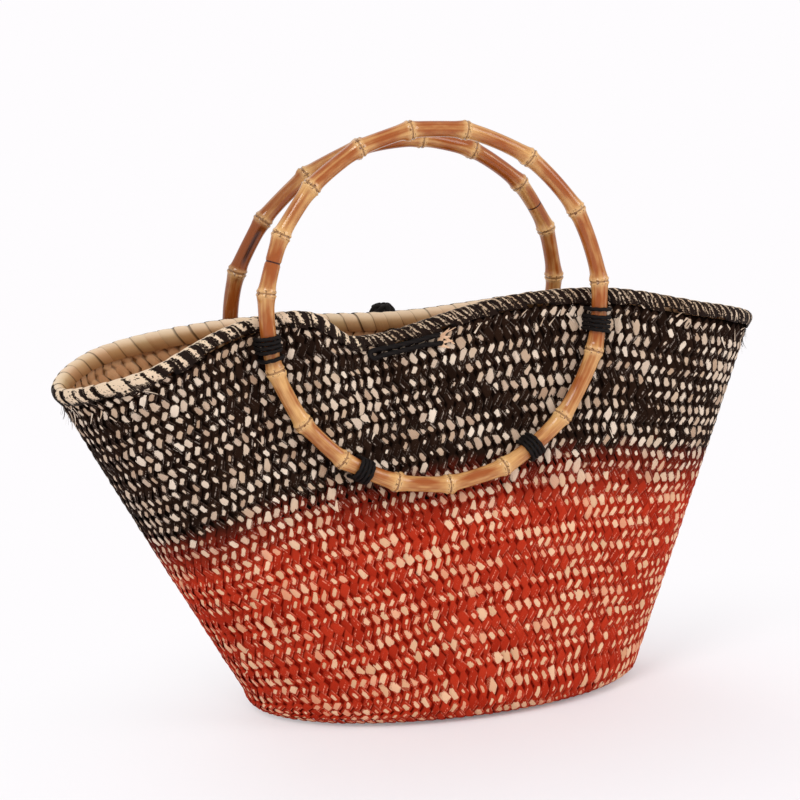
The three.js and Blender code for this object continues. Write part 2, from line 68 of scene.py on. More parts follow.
# Floor and light
# A white sweep of paper in a white room, under three soft lamps. Close to the bag the paper keeps its
# shadow, and further out it is plain white.
class Shade:
    """One socket of a material, so that shader maths is written as plain arithmetic."""

    def __init__(self, tree, socket=None):
        self.tree = tree
        self.socket = socket

    def node(self, kind, settings, inputs, output=0):
        """Adds any node: its settings come first, then the values or links of its sockets."""
        node = self.tree.nodes.new("ShaderNode" + kind)
        for name, value in settings.items():
            setattr(node, name, value)
        for name, value in inputs.items():
            if isinstance(value, Shade):
                self.tree.links.new(value.socket, node.inputs[name])
            else:
                node.inputs[name].default_value = value
        return Shade(self.tree, node.outputs[output])

    def maths(self, operation, first, second):
        return self.node("Math", {"operation": operation}, {0: first, 1: second})

    def __add__(self, other):
        return self.maths("ADD", self, other)

    def __mul__(self, other):
        return self.maths("MULTIPLY", self, other)

    def __sub__(self, other):
        return self.maths("SUBTRACT", self, other)

    def __rsub__(self, other):
        return self.maths("SUBTRACT", other, self)

    def __truediv__(self, other):
        return self.maths("DIVIDE", self, other)

    def __pow__(self, power):
        return self.maths("POWER", self, power)

    def __abs__(self):
        return self.maths("ABSOLUTE", self, 0.0)

    __radd__ = __add__
    __rmul__ = __mul__

    def sine(self):
        return self.maths("SINE", self, 0.0)

    def cosine(self):
        return self.maths("COSINE", self, 0.0)

    def lesser(self, other):
        return self.maths("MINIMUM", self, other)

    def greater(self, other):
        return self.maths("MAXIMUM", self, other)

    def rise(self, low, high):
        """0 below low, 1 above high, and smooth between them."""
        limits = {"Value": self, "From Min": low, "From Max": high}
        return self.node("MapRange", {"interpolation_type": "SMOOTHSTEP"}, limits)

    def tint(self, low, high):
        """A colour between two colours, with this value as the share of the second."""
        return self.node("Mix", {"data_type": "RGBA"}, {0: self, 6: low, 7: high}, 2)

    def times(self, colour):
        """A colour made lighter or darker by this value."""
        grey = self.node("CombineXYZ", {}, {0: self, 1: self, 2: self})
        return self.node("VectorMath", {"operation": "MULTIPLY"}, {0: colour, 1: grey})

    def parts(self):
        return [self.node("SeparateXYZ", {}, {0: self}, i) for i in range(3)]

    def attribute(self, name):
        """The three numbers that a mesh carries under a name."""
        return self.node("Attribute", {"attribute_name": name}, {}, 1).parts()

    def dice(self):
        """Three chance numbers, 0 to 1, which stay the same where this value does."""
        return self.node("TexWhiteNoise", {"noise_dimensions": "1D"}, {"W": self}, 1).parts()

    def noise(self, x, y, z, scale, detail=2.0):
        where = self.node("CombineXYZ", {}, {0: x, 1: y, 2: z})
        return self.node("TexNoise", {}, {"Vector": where, "Scale": scale, "Detail": detail})

    def goes_to(self, socket):
        self.tree.links.new(self.socket, socket)

    def relief(self, surface, strength, depth=0.0004):
        """Gives a surface fine relief, with this value as its height."""
        bump = self.node("Bump", {}, {"Strength": strength, "Distance": depth, "Height": self})
        bump.goes_to(surface.inputs["Normal"])


def srgb(red, green, blue):
    """A colour as seen on a screen, 0 to 255, as the linear colour of a shader."""
    parts = [c / 255 for c in (red, green, blue)]
    return tuple(c / 12.92 if c < 0.04045 else ((c + 0.055) / 1.055) ** 2.4 for c in parts) + (1.0,)


def new_material(name, even):
    """A material with its shade and surface; even holds what is the same all over the surface."""
    material = bpy.data.materials.new(name)
    material.use_nodes = True
    surface = material.node_tree.nodes["Principled BSDF"]
    for socket, value in even.items():
        surface.inputs[socket].default_value = value
    return material, Shade(material.node_tree), surface


PAPER, WHITE = srgb(243, 240, 243), srgb(254, 252, 254)
PAPER_SIZE, PAPER_LEVEL = 40, -0.0008
SHADOW_X, SHADOW_Y, SHADOW_REACH, SHADOW_END = 0.08, -0.4, 0.26, 0.6
ROOM_LIGHT = 0.74
LAMPS_AIM = Vector((0, 0, 0.15))
bpy.ops.mesh.primitive_plane_add(size=PAPER_SIZE, location=(0, 0, PAPER_LEVEL))
floor = bpy.context.object
floor.name = "paper_floor"
paper, shade, surface = new_material(
    "white_paper", {"Base Color": PAPER, "Roughness": 0.9, "Specular IOR Level": 0.1})
x, y, _ = shade.node("TexCoord", {}, {}, 3).parts()
far = (((x - SHADOW_X) ** 2.0 + (y - SHADOW_Y) ** 2.0) ** 0.5).rise(SHADOW_REACH, SHADOW_END)
by_camera, by_gloss, through = (shade.node("LightPath", {}, {}, i) for i in (0, 3, 6))
seen = by_camera.greater(by_gloss).greater(through)
glow = shade.node("Emission", {}, {"Color": WHITE, "Strength": 1.0})
mixed = shade.node("MixShader", {}, {0: far * seen, 1: Shade(shade.tree, surface.outputs[0]), 2: glow})
mixed.goes_to(paper.node_tree.nodes["Material Output"].inputs["Surface"])
floor.data.materials.append(paper)

world = bpy.data.worlds.new("studio")
bpy.context.scene.world = world
world.use_nodes = True
room = world.node_tree.nodes["Background"]
room.inputs["Color"].default_value = (1.0, 1.0, 1.0, 1.0)
room.inputs["Strength"].default_value = ROOM_LIGHT
for name, spot, size, power in (
    ("key_lamp", (-1.2, -1.1, 2.0), 1.0, 19.0),
    ("fill_lamp", (1.6, -1.1, 1.3), 1.2, 14.0),
    ("back_lamp", (-0.3, 1.8, 1.6), 1.6, 5.0),
):
    lamp = bpy.data.objects.new(name, bpy.data.lights.new(name, "AREA"))
    bpy.context.scene.collection.objects.link(lamp)
    lamp.data.shape = "DISK"
    lamp.data.size = size
    lamp.data.energy = power
    lamp.location = spot
    lamp.rotation_euler = (Vector(spot) - LAMPS_AIM).to_track_quat("Z", "Y").to_euler()


# The basket's shape
# One long plait is wound up from an oval bottom, course on course, and flares to the rim. The foot
# stands a little right of the mouth, and the front rim has a dent left of its middle.
FOOT_LENGTH, FOOT_DEPTH, FOOT_SHIFT, FOOT_TURN = 131.0, 68.0, 20.0, 10.0
PLAIT = 4.0
BELLY = 1.0
RIM_LENGTH = 228.0
FRONT_RIM, BACK_RIM, BACK_SAG, LEFT_RIM, RIGHT_RIM = 256.0, 243.0, 4.0, 216.0, 225.0
MOUTH_DEPTH, LEFT_DEPTH, RIGHT_DEPTH = 26.0, 49.0, 30.0
DENT_AT, DENT_DROP, DENT_INSET, DENT_LEFT, DENT_RIGHT = -45.0, 22.0, 11.0, 22.0, 62.0
TURN_SHARE, TOP_SHARE = 0.08, 0.96
CORE_REACH = 2.8


def between(low, high, share):
    return low + (high - low) * share


def hump(off, wide, power=2):
    """1 in the middle, and down to nothing on both sides of it."""
    return np.exp(-(off / wide) ** power)


# Angle round the bag (0 is the right end, 90 the back), depth and height of the rim there.
RIM_STATIONS = np.array([
    (0, 0, RIGHT_RIM),
    (35, RIGHT_DEPTH, between(RIGHT_RIM, BACK_RIM, 0.3)),
    (62, MOUTH_DEPTH, BACK_RIM),
    (90, MOUTH_DEPTH - 1, BACK_RIM - BACK_SAG),
    (118, MOUTH_DEPTH, BACK_RIM),
    (143, LEFT_DEPTH, between(LEFT_RIM, BACK_RIM, 0.45)),
    (180, 0, LEFT_RIM),
    (213, -LEFT_DEPTH, between(LEFT_RIM, FRONT_RIM, 0.45)),
    (241, -MOUTH_DEPTH, FRONT_RIM),
    (270, 1 - MOUTH_DEPTH, FRONT_RIM),
    (299, -MOUTH_DEPTH, FRONT_RIM),
    (325, 2 - RIGHT_DEPTH, between(RIGHT_RIM, FRONT_RIM, 0.5)),
])


def station(degrees, column):
    angle = np.concatenate([RIM_STATIONS[-2:, 0] - 360, RIM_STATIONS[:, 0], RIM_STATIONS[:3, 0] + 360])
    value = np.concatenate([RIM_STATIONS[-2:, column], RIM_STATIONS[:, column], RIM_STATIONS[:3, column]])
    slope = np.zeros_like(value)
    slope[1:-1] = (value[2:] - value[:-2]) / (angle[2:] - angle[:-2])
    at = np.asarray(degrees, float) % 360
    i = np.searchsorted(angle, at, side="right") - 1
    span = angle[i + 1] - angle[i]
    t = (at - angle[i]) / span
    start = value[i] * (1 + 2 * t) * (1 - t) ** 2 + slope[i] * span * t * (1 - t) ** 2
    return start + value[i + 1] * t * t * (3 - 2 * t) + slope[i + 1] * span * t * t * (t - 1)


def dent(degrees):
    off = RIM_LENGTH * np.cos(np.radians(degrees)) - DENT_AT
    share = hump(off, np.where(off < 0, DENT_LEFT, DENT_RIGHT)) * (np.sin(np.radians(degrees)) <= 0)
    return np.stack([0 * share, DENT_INSET * share, -DENT_DROP * share], -1)


def smooth_rim(degrees):
    degrees = np.asarray(degrees, float)
    return np.stack([RIM_LENGTH * np.cos(np.radians(degrees)), station(degrees, 1), station(degrees, 2)], -1)


def rim(degrees):
    return smooth_rim(degrees) + dent(degrees)


def unit(vectors):
    return vectors / np.linalg.norm(vectors, axis=-1, keepdims=True)


def wall(degrees, share):
    """The middle of the plait: share 0 is at the bottom mat and 1 at the rim's core."""
    degrees, share = np.broadcast_arrays(np.asarray(degrees, float), np.asarray(share, float))
    c, s = np.cos(np.radians(degrees)), np.sin(np.radians(degrees))
    bend = np.clip(share / TURN_SHARE, 0, 1) * math.pi / 2
    inset = FOOT_TURN * (1 - np.sin(bend))
    rise = PLAIT / 2 + FOOT_TURN * (1 - np.cos(bend))
    foot = np.stack([FOOT_SHIFT + (FOOT_LENGTH - inset) * c, (FOOT_DEPTH - inset) * s, rise], -1)
    t = np.clip((np.minimum(share, TOP_SHARE) - TURN_SHARE) / (1 - TURN_SHARE), 0, 1)[..., None]
    swell = unit(np.stack([c / FOOT_LENGTH, s / FOOT_DEPTH, 0 * c], -1))
    point = foot * (1 - t) + smooth_rim(degrees) * t + swell * BELLY * 4 * t * (1 - t)
    point = point + dent(degrees) * t ** 4
    top = rim(degrees)
    reach = 1 - CORE_REACH / np.linalg.norm(top - point, axis=-1, keepdims=True)
    over = np.clip((share - TOP_SHARE) / (1 - TOP_SHARE), 0, 1)[..., None]
    return point + (top - point) * over * reach


def wall_out(degrees, share):
    """The way out of the bag, square to the plait."""
    low = np.clip(np.asarray(share, float) - 0.002, 0, 0.996)
    around = wall(degrees + 0.05, share) - wall(degrees - 0.05, share)
    return unit(np.cross(around, wall(degrees, low + 0.004) - wall(degrees, low)))


def skin(degrees, share, off):
    return wall(degrees, share) + wall_out(degrees, share) * np.asarray(off)[..., None]


WALL_SHARES = np.linspace(TURN_SHARE, 1, 185)
WALL_TURNS = {-1: np.linspace(180, 360, 361), 1: np.linspace(180, 0, 361)}
WALL_GRID = {side: wall(turns[None], WALL_SHARES[:, None]) for side, turns in WALL_TURNS.items()}


def wall_at(x, z, side):
    """The angle and the share at which the front or back wall stands at an x and a height."""
    turns = [np.interp(x, row[:, 0], WALL_TURNS[side]) for row in WALL_GRID[side]]
    heights = [np.interp(x, row[:, 0], row[:, 2]) for row in WALL_GRID[side]]
    share = np.interp(z, heights, WALL_SHARES)
    return np.interp(share, WALL_SHARES, turns), share


def rim_frame(degrees):
    """The rim's middle line, the way out of the bag and the way up the wall."""
    degrees = np.asarray(degrees, float)
    at = rim(degrees)
    along = unit(rim(degrees + 0.1) - rim(degrees - 0.1))
    up = at - wall(degrees, np.full_like(degrees, TOP_SHARE))
    up = unit(up - along * np.sum(up * along, -1, keepdims=True))
    return at, np.cross(along, up), up


# The closing loop
# A doubled black cord, held inside the front wall by a knot. It lies on the wall under the rim, flopped
# to the left, and slips over the button on the back to close the mouth.
MM = 0.001
WHOLE_SHEET = (0.0, 0.0, 1.0, 1.0)
MARGIN = 0.04
PLIES, PLY_DEPTH = 3, 0.12


class Piece:
    """A mesh put together from grids of points, each with its own share of the bake sheet."""

    def __init__(self):
        self.points, self.faces, self.sheet, self.slots = [], [], [], []
        self.carried = {}
        self.count = 0

    def add(self, points, area, slot=0, round_rows=False, round_columns=False, flip=False, **carried):
        """Adds grids of points (grid, row, column); area is their part of the bake sheet."""
        points = np.asarray(points, float)
        if points.ndim == 3:
            points = points[None]
        grids, rows, columns = points.shape[:3]
        i = np.arange(rows if round_rows else rows - 1)
        j = np.arange(columns if round_columns else columns - 1)
        g, i, j = (v.ravel() for v in np.meshgrid(np.arange(grids), i, j, indexing="ij"))
        corners = [(i, j), (i, j + 1), (i + 1, j + 1), (i + 1, j)]
        if flip:
            corners = corners[::-1]
        index = [(g * rows + a % rows) * columns + b % columns for a, b in corners]
        across = max(1, round(math.sqrt(grids * (area[2] - area[0]) / (area[3] - area[1]))))
        down = math.ceil(grids / across)
        width, height = (area[2] - area[0]) / across, (area[3] - area[1]) / down
        sheet = []
        for a, b in corners:
            b, a = b / (columns - 1 + round_columns), a / (rows - 1 + round_rows)
            u = area[0] + width * (g % across + MARGIN + (1 - 2 * MARGIN) * b)
            v = area[1] + height * (g // across + MARGIN + (1 - 2 * MARGIN) * a)
            sheet.append(np.stack([u, v], -1))
        self.points.append(points.reshape(-1, 3))
        self.faces.append(np.stack(index, -1) + self.count)
        self.sheet.append(np.stack(sheet, 1))
        self.slots.append(np.full(len(g), slot))
        for name, values in carried.items():
            values = np.broadcast_to(np.asarray(values, float), points.shape)
            self.carried.setdefault(name, []).append((self.count, values.reshape(-1, 3)))
        self.count += points.size // 3

    def make(self, name, materials, body, slot, nodes=()):
        """The finished object, in metres, which rides on a body and stands for CAD nodes."""
        faces = np.concatenate(self.faces)
        mesh = bpy.data.meshes.new(name)
        mesh.vertices.add(self.count)
        mesh.vertices.foreach_set("co", (np.concatenate(self.points) * MM).ravel())
        mesh.loops.add(faces.size)
        mesh.loops.foreach_set("vertex_index", faces.ravel())
        mesh.polygons.add(len(faces))
        mesh.polygons.foreach_set("loop_start", np.arange(len(faces)) * 4)
        mesh.polygons.foreach_set("material_index", np.concatenate(self.slots))
        mesh.polygons.foreach_set("use_smooth", np.ones(len(faces), bool))
        mesh.update(calc_edges=True)
        mesh.uv_layers.new(name="OFBake").data.foreach_set("uv", np.concatenate(self.sheet).ravel())
        for title, blocks in self.carried.items():
            values = np.zeros((self.count, 3))
            for first, block in blocks:
                values[first:first + len(block)] = block
            mesh.attributes.new(title, "FLOAT_VECTOR", "POINT").data.foreach_set("vector", values.ravel())
        mesh.validate()
        item = bpy.data.objects.new(name, mesh)
        bpy.context.scene.collection.objects.link(item)
        for material in materials:
            mesh.materials.append(material)
        if body:
            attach(item, body)
        if nodes:
            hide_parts(*nodes)
        return item


def smooth_path(points, steps):
    """A smooth line through points, with the same number of steps in each stretch."""
    points = np.asarray(points, float)
    ends = np.concatenate([[2 * points[0] - points[1]], points, [2 * points[-1] - points[-2]]])
    t = (np.arange(steps) / steps)[:, None]
    parts = []
    for p0, p1, p2, p3 in zip(ends[:-3], ends[1:-2], ends[2:-1], ends[3:]):
        bent = (2 * p0 - 5 * p1 + 4 * p2 - p3) * t ** 2 + (3 * p1 - p0 - 3 * p2 + p3) * t ** 3
        parts.append(p1 + 0.5 * ((p2 - p0) * t + bent))
    return np.concatenate(parts + [points[-1:]])


def run_along(path):
    """How far along a line each of its points lies."""
    return np.concatenate([[0], np.cumsum(np.linalg.norm(np.diff(path, axis=0), axis=1))])


def ways_across(path):
    """Two ways across a line that don't twist along it."""
    along = unit(np.gradient(path, axis=0))
    side = np.empty_like(along)
    last = unit(np.cross((0.31, 0.52, 0.79), along[0]))
    for i, way in enumerate(along):
        last = unit(last - way * (last @ way))
        side[i] = last
    return side, np.cross(along, side)


def facts(*values):
    """Three numbers for each point of a grid, which its mesh then carries."""
    return np.stack(np.broadcast_arrays(*values), -1)


def cord_tube(path, radius, sides=12, lay=7.0, taper=0):
    """A laid cord along a line: its plies turn round each other once in each lay."""
    side, up = ways_across(path)
    run = run_along(path)
    angle = np.arange(sides) / sides * 2 * math.pi
    ply = np.cos(PLIES * (angle[None] - 2 * math.pi * run[:, None] / lay / PLIES))
    reach = radius * (1 - PLY_DEPTH + PLY_DEPTH * ply)
    if taper:
        reach[:taper] *= np.linspace(0.05, 1, taper)[:, None]
        reach[-taper:] *= np.linspace(1, 0.05, taper)[:, None]
    ring = side[:, None] * np.cos(angle)[:, None] + up[:, None] * np.sin(angle)[:, None]
    points = path[:, None] + ring * reach[..., None]
    return points, facts(run[:, None], angle / (2 * math.pi), ply)


black_cord, shade, surface = new_material("black_cord", {"Specular IOR Level": 0.15})
along, round_it, ply = shade.attribute("cord")
fibre = shade.noise(along * 0.5, round_it * 7.0, ply, 6.0, 3.0)
fuzz = shade.noise(along * 0.16, round_it, 3.0, 3.0)
colour = fibre.tint(srgb(9, 6, 6), srgb(36, 28, 26))
# Darker in the grooves between the plies: painted shade, over the cord's own uneven black.
((ply * 0.5 + 0.5) * 0.55 + fuzz * 0.5 + 0.2).times(colour).goes_to(surface.inputs["Base Color"])
(fibre * 0.2 + 0.62).goes_to(surface.inputs["Roughness"])
fibre.relief(surface, 0.35, 0.0003)


def cord_piece(name, path, radius, body, node, **laid):
    """A finished piece of black cord along a line."""
    cord = Piece()
    points, carried = cord_tube(path, radius, **laid)
    cord.add(points, WHOLE_SHEET, round_columns=True, cord=carried)
    return cord.make(name, [black_cord], body, "cord", [node])


SKIRT, UNDER_SKIRT, GAP = 5.0, 1.2, 0.3
LOOP_RADIUS, LOOP_X, LOOP_SPREAD, LOOP_OFF, LOOP_PLY = 1.3, 5.0, 5.0, 0.6, 0.45
loop_turn = np.array(360 - math.degrees(math.acos(LOOP_X / RIM_LENGTH)))
loop_drop = SKIRT + UNDER_SKIRT + LOOP_RADIUS + 2 * GAP
loop_at, _, loop_up = rim_frame(loop_turn)
loop_top = loop_at - loop_up * loop_drop
loop_low = loop_at - loop_up * (loop_drop + LOOP_SPREAD)
# How the loop lies on the wall: left of where it comes out, and up or down from there.
LOOP_LIE = (
    (3, -0.4), (8, -1.6), (13, -2.9), (18, -4.1), (23, -5.2), (28, -6.1), (33, -6.8), (38, -7.5),
    (41, -7.9), (43.3, -8.8), (44.2, -10.4), (43.1, -11.9), (40.8, -12.2), (38, -11.5), (33, -10.3),
    (28, -9.4), (23, -8.5), (18, -7.4), (13, -6.3), (8, -5.4), (3, -5.1),
)


def on_front(x, z, off):
    degrees, share = wall_at(x, z, -1)
    return skin(np.array(degrees), np.array(share), PLAIT / 2 + off)


loop_lie = [on_front(loop_top[0] - left, loop_top[2] + up, LOOP_RADIUS + LOOP_OFF) for left, up in LOOP_LIE]
loop_ends = [[on_front(p[0], p[2], off) for off in (-PLAIT, 0.2)] for p in (loop_top, loop_low)]
loop_path = smooth_path([*loop_ends[0], *loop_lie, *loop_ends[1][::-1]], 6)
closing_loop = cord_piece("loop_cord", loop_path, LOOP_RADIUS + LOOP_PLY, "bag", "closing_loop")


KNOT_RADIUS, KNOT_CORD, KNOT_COILS, KNOT_END = 2.6, 0.9, 4, 0.7


def knot_piece(name, first, last, node):
    """A barrel knot: its cord is wound in a short coil round its own two ends."""
    along = unit(last - first)
    side = unit(np.cross(along, (0.3, 0.5, 0.8)))
    up = np.cross(along, side)
    t = np.linspace(0, 1, KNOT_COILS * 16 + 1)[:, None]
    angle = 2 * math.pi * KNOT_COILS * t
    reach = (KNOT_RADIUS - KNOT_CORD) * np.sqrt(1 - 0.6 * np.abs(2 * t - 1) ** 3)
    coil = first + (last - first) * t + reach * (np.cos(angle) * side + np.sin(angle) * up)
    end = along * KNOT_RADIUS * KNOT_END
    coil = np.concatenate([[first - end], coil, [last + end]])
    cord_piece(name, coil, KNOT_CORD, "bag", node, sides=10, taper=2)


loop_depth = -PLAIT - GAP - KNOT_RADIUS
knot_ends = [on_front(p[0], p[2], loop_depth) for p in (loop_top, loop_low)]
knot_piece("loop_knot", *knot_ends, "closing_loop_knot")


# The basket wall
# A plait of slanting palm-leaf strips, with two rows of leaning cells in each course. It was dyed after
# weaving, red below and black above, and stayed pale in diamonds where a strip lay under its neighbour.
COURSES = 18
TOP_COURSE = 0.985
CELL_PITCH = 6.2
CELL_LEAN = 56.0
STRIP_LENGTH, STRIP_WIDTH = 8.4, 6.2
STRIP_LOW, STRIP_HIGH = 0.95, 2.3
SHIFT_SPREAD, LEAN_SPREAD, LENGTH_SPREAD, WIDTH_SPREAD, LIFT_SPREAD = 0.25, 0.06, 0.05, 0.06, 0.2
HALF_ROW = 3.2
SEAM_RELIEF = 0.8
BACKING = 0.8
CLIMB, CLIMB_AT, CLIMB_WIDTH, CLIMB_FROM = 0.07, 256.0, 8.0, 0.15
END_DIP, END_WIDTH = 0.04, 30.0
RUN_OUT, RUN_OUT_WIDTH = 0.075, 400.0
BLACK_EDGE, EDGE_BLUR, EDGE_SPREAD, BORDER_CLIMB = 140.0, 18.0, 2.5, 0.6
# Undyed patches: size and chance for the lower and upper row of a course, torn ones, and where few are; under
# the rim left of the dent they are left out as painted shade.
BLACK_PATCH, RED_PATCH = (0.48, 0.51), (0.47, 0.53)
BLACK_CHANCE, RED_CHANCE = (0.96, 1.0), (0.76, 0.92)
PATCH_SPREAD, PATCH_LEAST, TORN_CHANCE, TORN_MORE = 0.13, 0.22, 0.05, 0.35
CLUSTER_SIZE, CLUSTER_CHANCE = 0.09, 0.2
SPARSE_AT, SPARSE_WIDTH, SPARSE_TOP, SPARSE = 277.0, 14.0, 0.85, 0.4
UNDER_RIM_SHADE_AT, UNDER_RIM_SHADE_WIDTH, UNDER_RIM_SHADE_FROM, UNDER_RIM_SHADE = 251.0, 5.0, 0.91, 0.7
ALL_ROUND = np.linspace(0, 360, 1441)
STRIP_ALONG = np.array([-1, -0.84, -0.45, 0.45, 0.84, 1.0])
STRIP_SWELL = (0, 0.72, 1, 1, 0.72, 0)
STRIP_ACROSS = np.array([-1, -0.7, 0.1, 0.86, 1.0])
STRIP_ROUND = (0.15, 0.6, 0.88, 1.0, 0.75)
ALONG, ACROSS = (v[None] for v in np.meshgrid(STRIP_ALONG, STRIP_ACROSS, indexing="ij"))
TIP_ALONG, TIP_ACROSS = 0.14, 0.12
weave = np.random.default_rng(21)
wall_length = float(np.linalg.norm(wall(270, 1) - wall(270, TURN_SHARE))) / (1 - TURN_SHARE)
edge_share = wall_at(0, BLACK_EDGE, -1)[1]
EACH = (slice(None), None, None)


def climb(degrees, level):
    """The share at which a course runs: it climbs along the front and runs out under the rim at the dent."""
    degrees, level = np.broadcast_arrays(np.asarray(degrees, float) % 360, np.asarray(level, float))
    low = np.clip(level / CLIMB_FROM, 0, 1)
    low = low * low * (3 - 2 * low)

    def front(turn):
        step = 1 / (1 + np.exp((CLIMB_AT - turn) / CLIMB_WIDTH)) - 0.5
        dip = END_DIP * hump(turn - 180, END_WIDTH)
        off = RIM_LENGTH * np.cos(np.radians(turn)) - DENT_AT
        over = hump(off, np.where(off < 0, DENT_LEFT, RUN_OUT_WIDTH))
        return low * (CLIMB * step - dip) + RUN_OUT * level ** 4 * over

    right = (1 + np.cos(np.radians(degrees))) / 2
    back = right * front(360.0) + (1 - right) * front(180.0)
    return level + np.where(degrees >= 180, front(degrees), back)


def course_line(degrees, level):
    return wall(degrees, climb(degrees, level))


def patchy(degrees, row, grain):
    """A slowly changing number, about -1 to 1, over the wall."""
    total = 0
    for _ in range(5):
        turns, tilt, start = grain.integers(3, 15), grain.uniform(-2.2, 2.2), grain.uniform(0, 6.3)
        total = total + np.sin(np.radians(degrees) * turns + row * tilt + start)
    return total / 2


def woven_rows(shares, pitch, length, width, surface_at):
    """The cells of a plait: for each one its row, its middle and the places of its grid of points."""
    lean = math.radians(CELL_LEAN)
    cells = {"degrees": [], "share": [], "row": [], "middle": []}
    half_row = (shares[1] - shares[0]) / 2
    for row, share in enumerate(shares):
        run = run_along(surface_at(ALL_ROUND, np.full_like(ALL_ROUND, share)))
        count = max(6, round(run[-1] / pitch))
        step = run[-1] / count
        start = start if row % 2 else weave.random()
        middle = (np.arange(count) + start + 0.5 * (row % 2)) * step + weave.normal(0, SHIFT_SPREAD, count)
        slant = -1 if row % 2 else 1
        turned = lean + weave.normal(0, LEAN_SPREAD, count)[EACH]
        long = (length * (1 + weave.normal(0, LENGTH_SPREAD, count)) / 2)[EACH]
        wide = (width * step / pitch * (1 + weave.normal(0, WIDTH_SPREAD, count)) / 2)[EACH]
        x = middle[EACH] + slant * ALONG * long * np.cos(turned) + ACROSS * wide * np.cos(turned)
        z = ALONG * long * np.sin(turned) - slant * ACROSS * wide * np.sin(turned)
        z = z + weave.normal(0, LIFT_SPREAD, count)[EACH]
        cells["degrees"].append(np.interp(x % run[-1], run, ALL_ROUND))
        cells["share"].append(share + z * half_row / HALF_ROW)
        cells["row"].append(np.full(count, row))
        cells["middle"].append(np.interp(middle % run[-1], run, ALL_ROUND))
    return {name: np.concatenate(parts) for name, parts in cells.items()}


def strip_height(count, low, high):
    """How a strip swells between where it comes out from under one neighbour and dives under the next."""
    swell = np.interp(ALONG, STRIP_ALONG, STRIP_SWELL)
    round_over = np.interp(ACROSS, STRIP_ACROSS, STRIP_ROUND)
    tip = weave.normal(0, TIP_ALONG, count)[EACH] * ALONG + weave.normal(0, TIP_ACROSS, count)[EACH] * ACROSS
    return low + (high - low) * swell * round_over + tip * swell


def strip_places(count):
    """What the points of each strip carry: where they lie on it, and the strip's own chance number."""
    return facts(ALONG, ACROSS, weave.random(count)[EACH])


def wall_cells(levels, pitch, length, width):
    """The cells of one side of the wall, up to the rim, with the share of each middle."""
    cells = woven_rows(levels, pitch, length, width, course_line)
    middle = climb(cells["middle"], levels[cells["row"]])
    kept = middle < TOP_COURSE
    return {name: values[kept] for name, values in cells.items()}, middle[kept]


def lay_cells(cells, height, lowest):
    """The points of cells at a height off the middle of the wall, and their shares."""
    share = np.clip(climb(cells["degrees"], np.maximum(cells["share"], 0.0)), 0.0, 0.999)
    points = skin(cells["degrees"], share, height)
    points[..., 2] = np.maximum(points[..., 2], lowest)
    return points, share


course = TOP_COURSE / COURSES
levels = (np.arange(2 * COURSES + 4) + 0.5) * course / 2
cells, middle_share = wall_cells(levels, CELL_PITCH, STRIP_LENGTH, STRIP_WIDTH)
count = len(middle_share)
from_seam = np.maximum(cells["share"], 0.0) / course % 1
height = strip_height(count, STRIP_LOW, STRIP_HIGH)
height = height + SEAM_RELIEF * (0.4 - np.abs(2 * from_seam - 1) ** 3)
outside, share = lay_cells(cells, height, 0.0)
border = edge_share + BORDER_CLIMB * (middle_share - levels[cells["row"]])
is_black = middle_share > border
above = (share - border[EACH]) * wall_length + weave.normal(0, EDGE_SPREAD, count)[EACH]
black = np.clip(above / (2 * EDGE_BLUR) + 0.55, 0, 1)
lower_row = cells["row"] % 2 == 0
cluster = patchy(cells["middle"], cells["row"], weave)
usual = np.where(is_black, np.where(lower_row, *BLACK_PATCH), np.where(lower_row, *RED_PATCH))
chance = np.where(is_black, np.where(lower_row, *BLACK_CHANCE), np.where(lower_row, *RED_CHANCE))
torn = TORN_MORE * (weave.random(count) < TORN_CHANCE)
pale = usual + CLUSTER_SIZE * cluster + weave.normal(0, PATCH_SPREAD, count) + torn
pale = np.clip(pale, PATCH_LEAST, 1.0)
sparse = SPARSE * lower_row * (middle_share < SPARSE_TOP) * hump(cells["middle"] - SPARSE_AT, SPARSE_WIDTH)
# Fewer pale patches under the rim left of the dent, so that the wall there reads dark: painted shade.
under_rim_shade = UNDER_RIM_SHADE * (middle_share > UNDER_RIM_SHADE_FROM) * hump(cells["middle"] - UNDER_RIM_SHADE_AT, UNDER_RIM_SHADE_WIDTH)
chance = chance + CLUSTER_CHANCE * cluster - sparse - under_rim_shade
pale = np.where(weave.random(count) < chance, pale, 0.0)
place = strip_places(count)
dye = facts(black, pale[EACH], lower_row[EACH].astype(float))

INSIDE_ROWS, INSIDE_PITCH, INSIDE_LENGTH, INSIDE_WIDTH = 32, 7.2, 10.4, 7.2
INSIDE_LOW, INSIDE_HIGH = 0.8, 2.3
inner_levels = (np.arange(INSIDE_ROWS + 4) + 0.5) * TOP_COURSE / INSIDE_ROWS
inner, inner_middle = wall_cells(inner_levels, INSIDE_PITCH, INSIDE_LENGTH, INSIDE_WIDTH)
inner_count = len(inner_middle)
inside, _ = lay_cells(inner, -strip_height(inner_count, INSIDE_LOW, INSIDE_HIGH), PLAIT / 2)
inner_place = strip_places(inner_count)
inner_black = inner_middle > edge_share

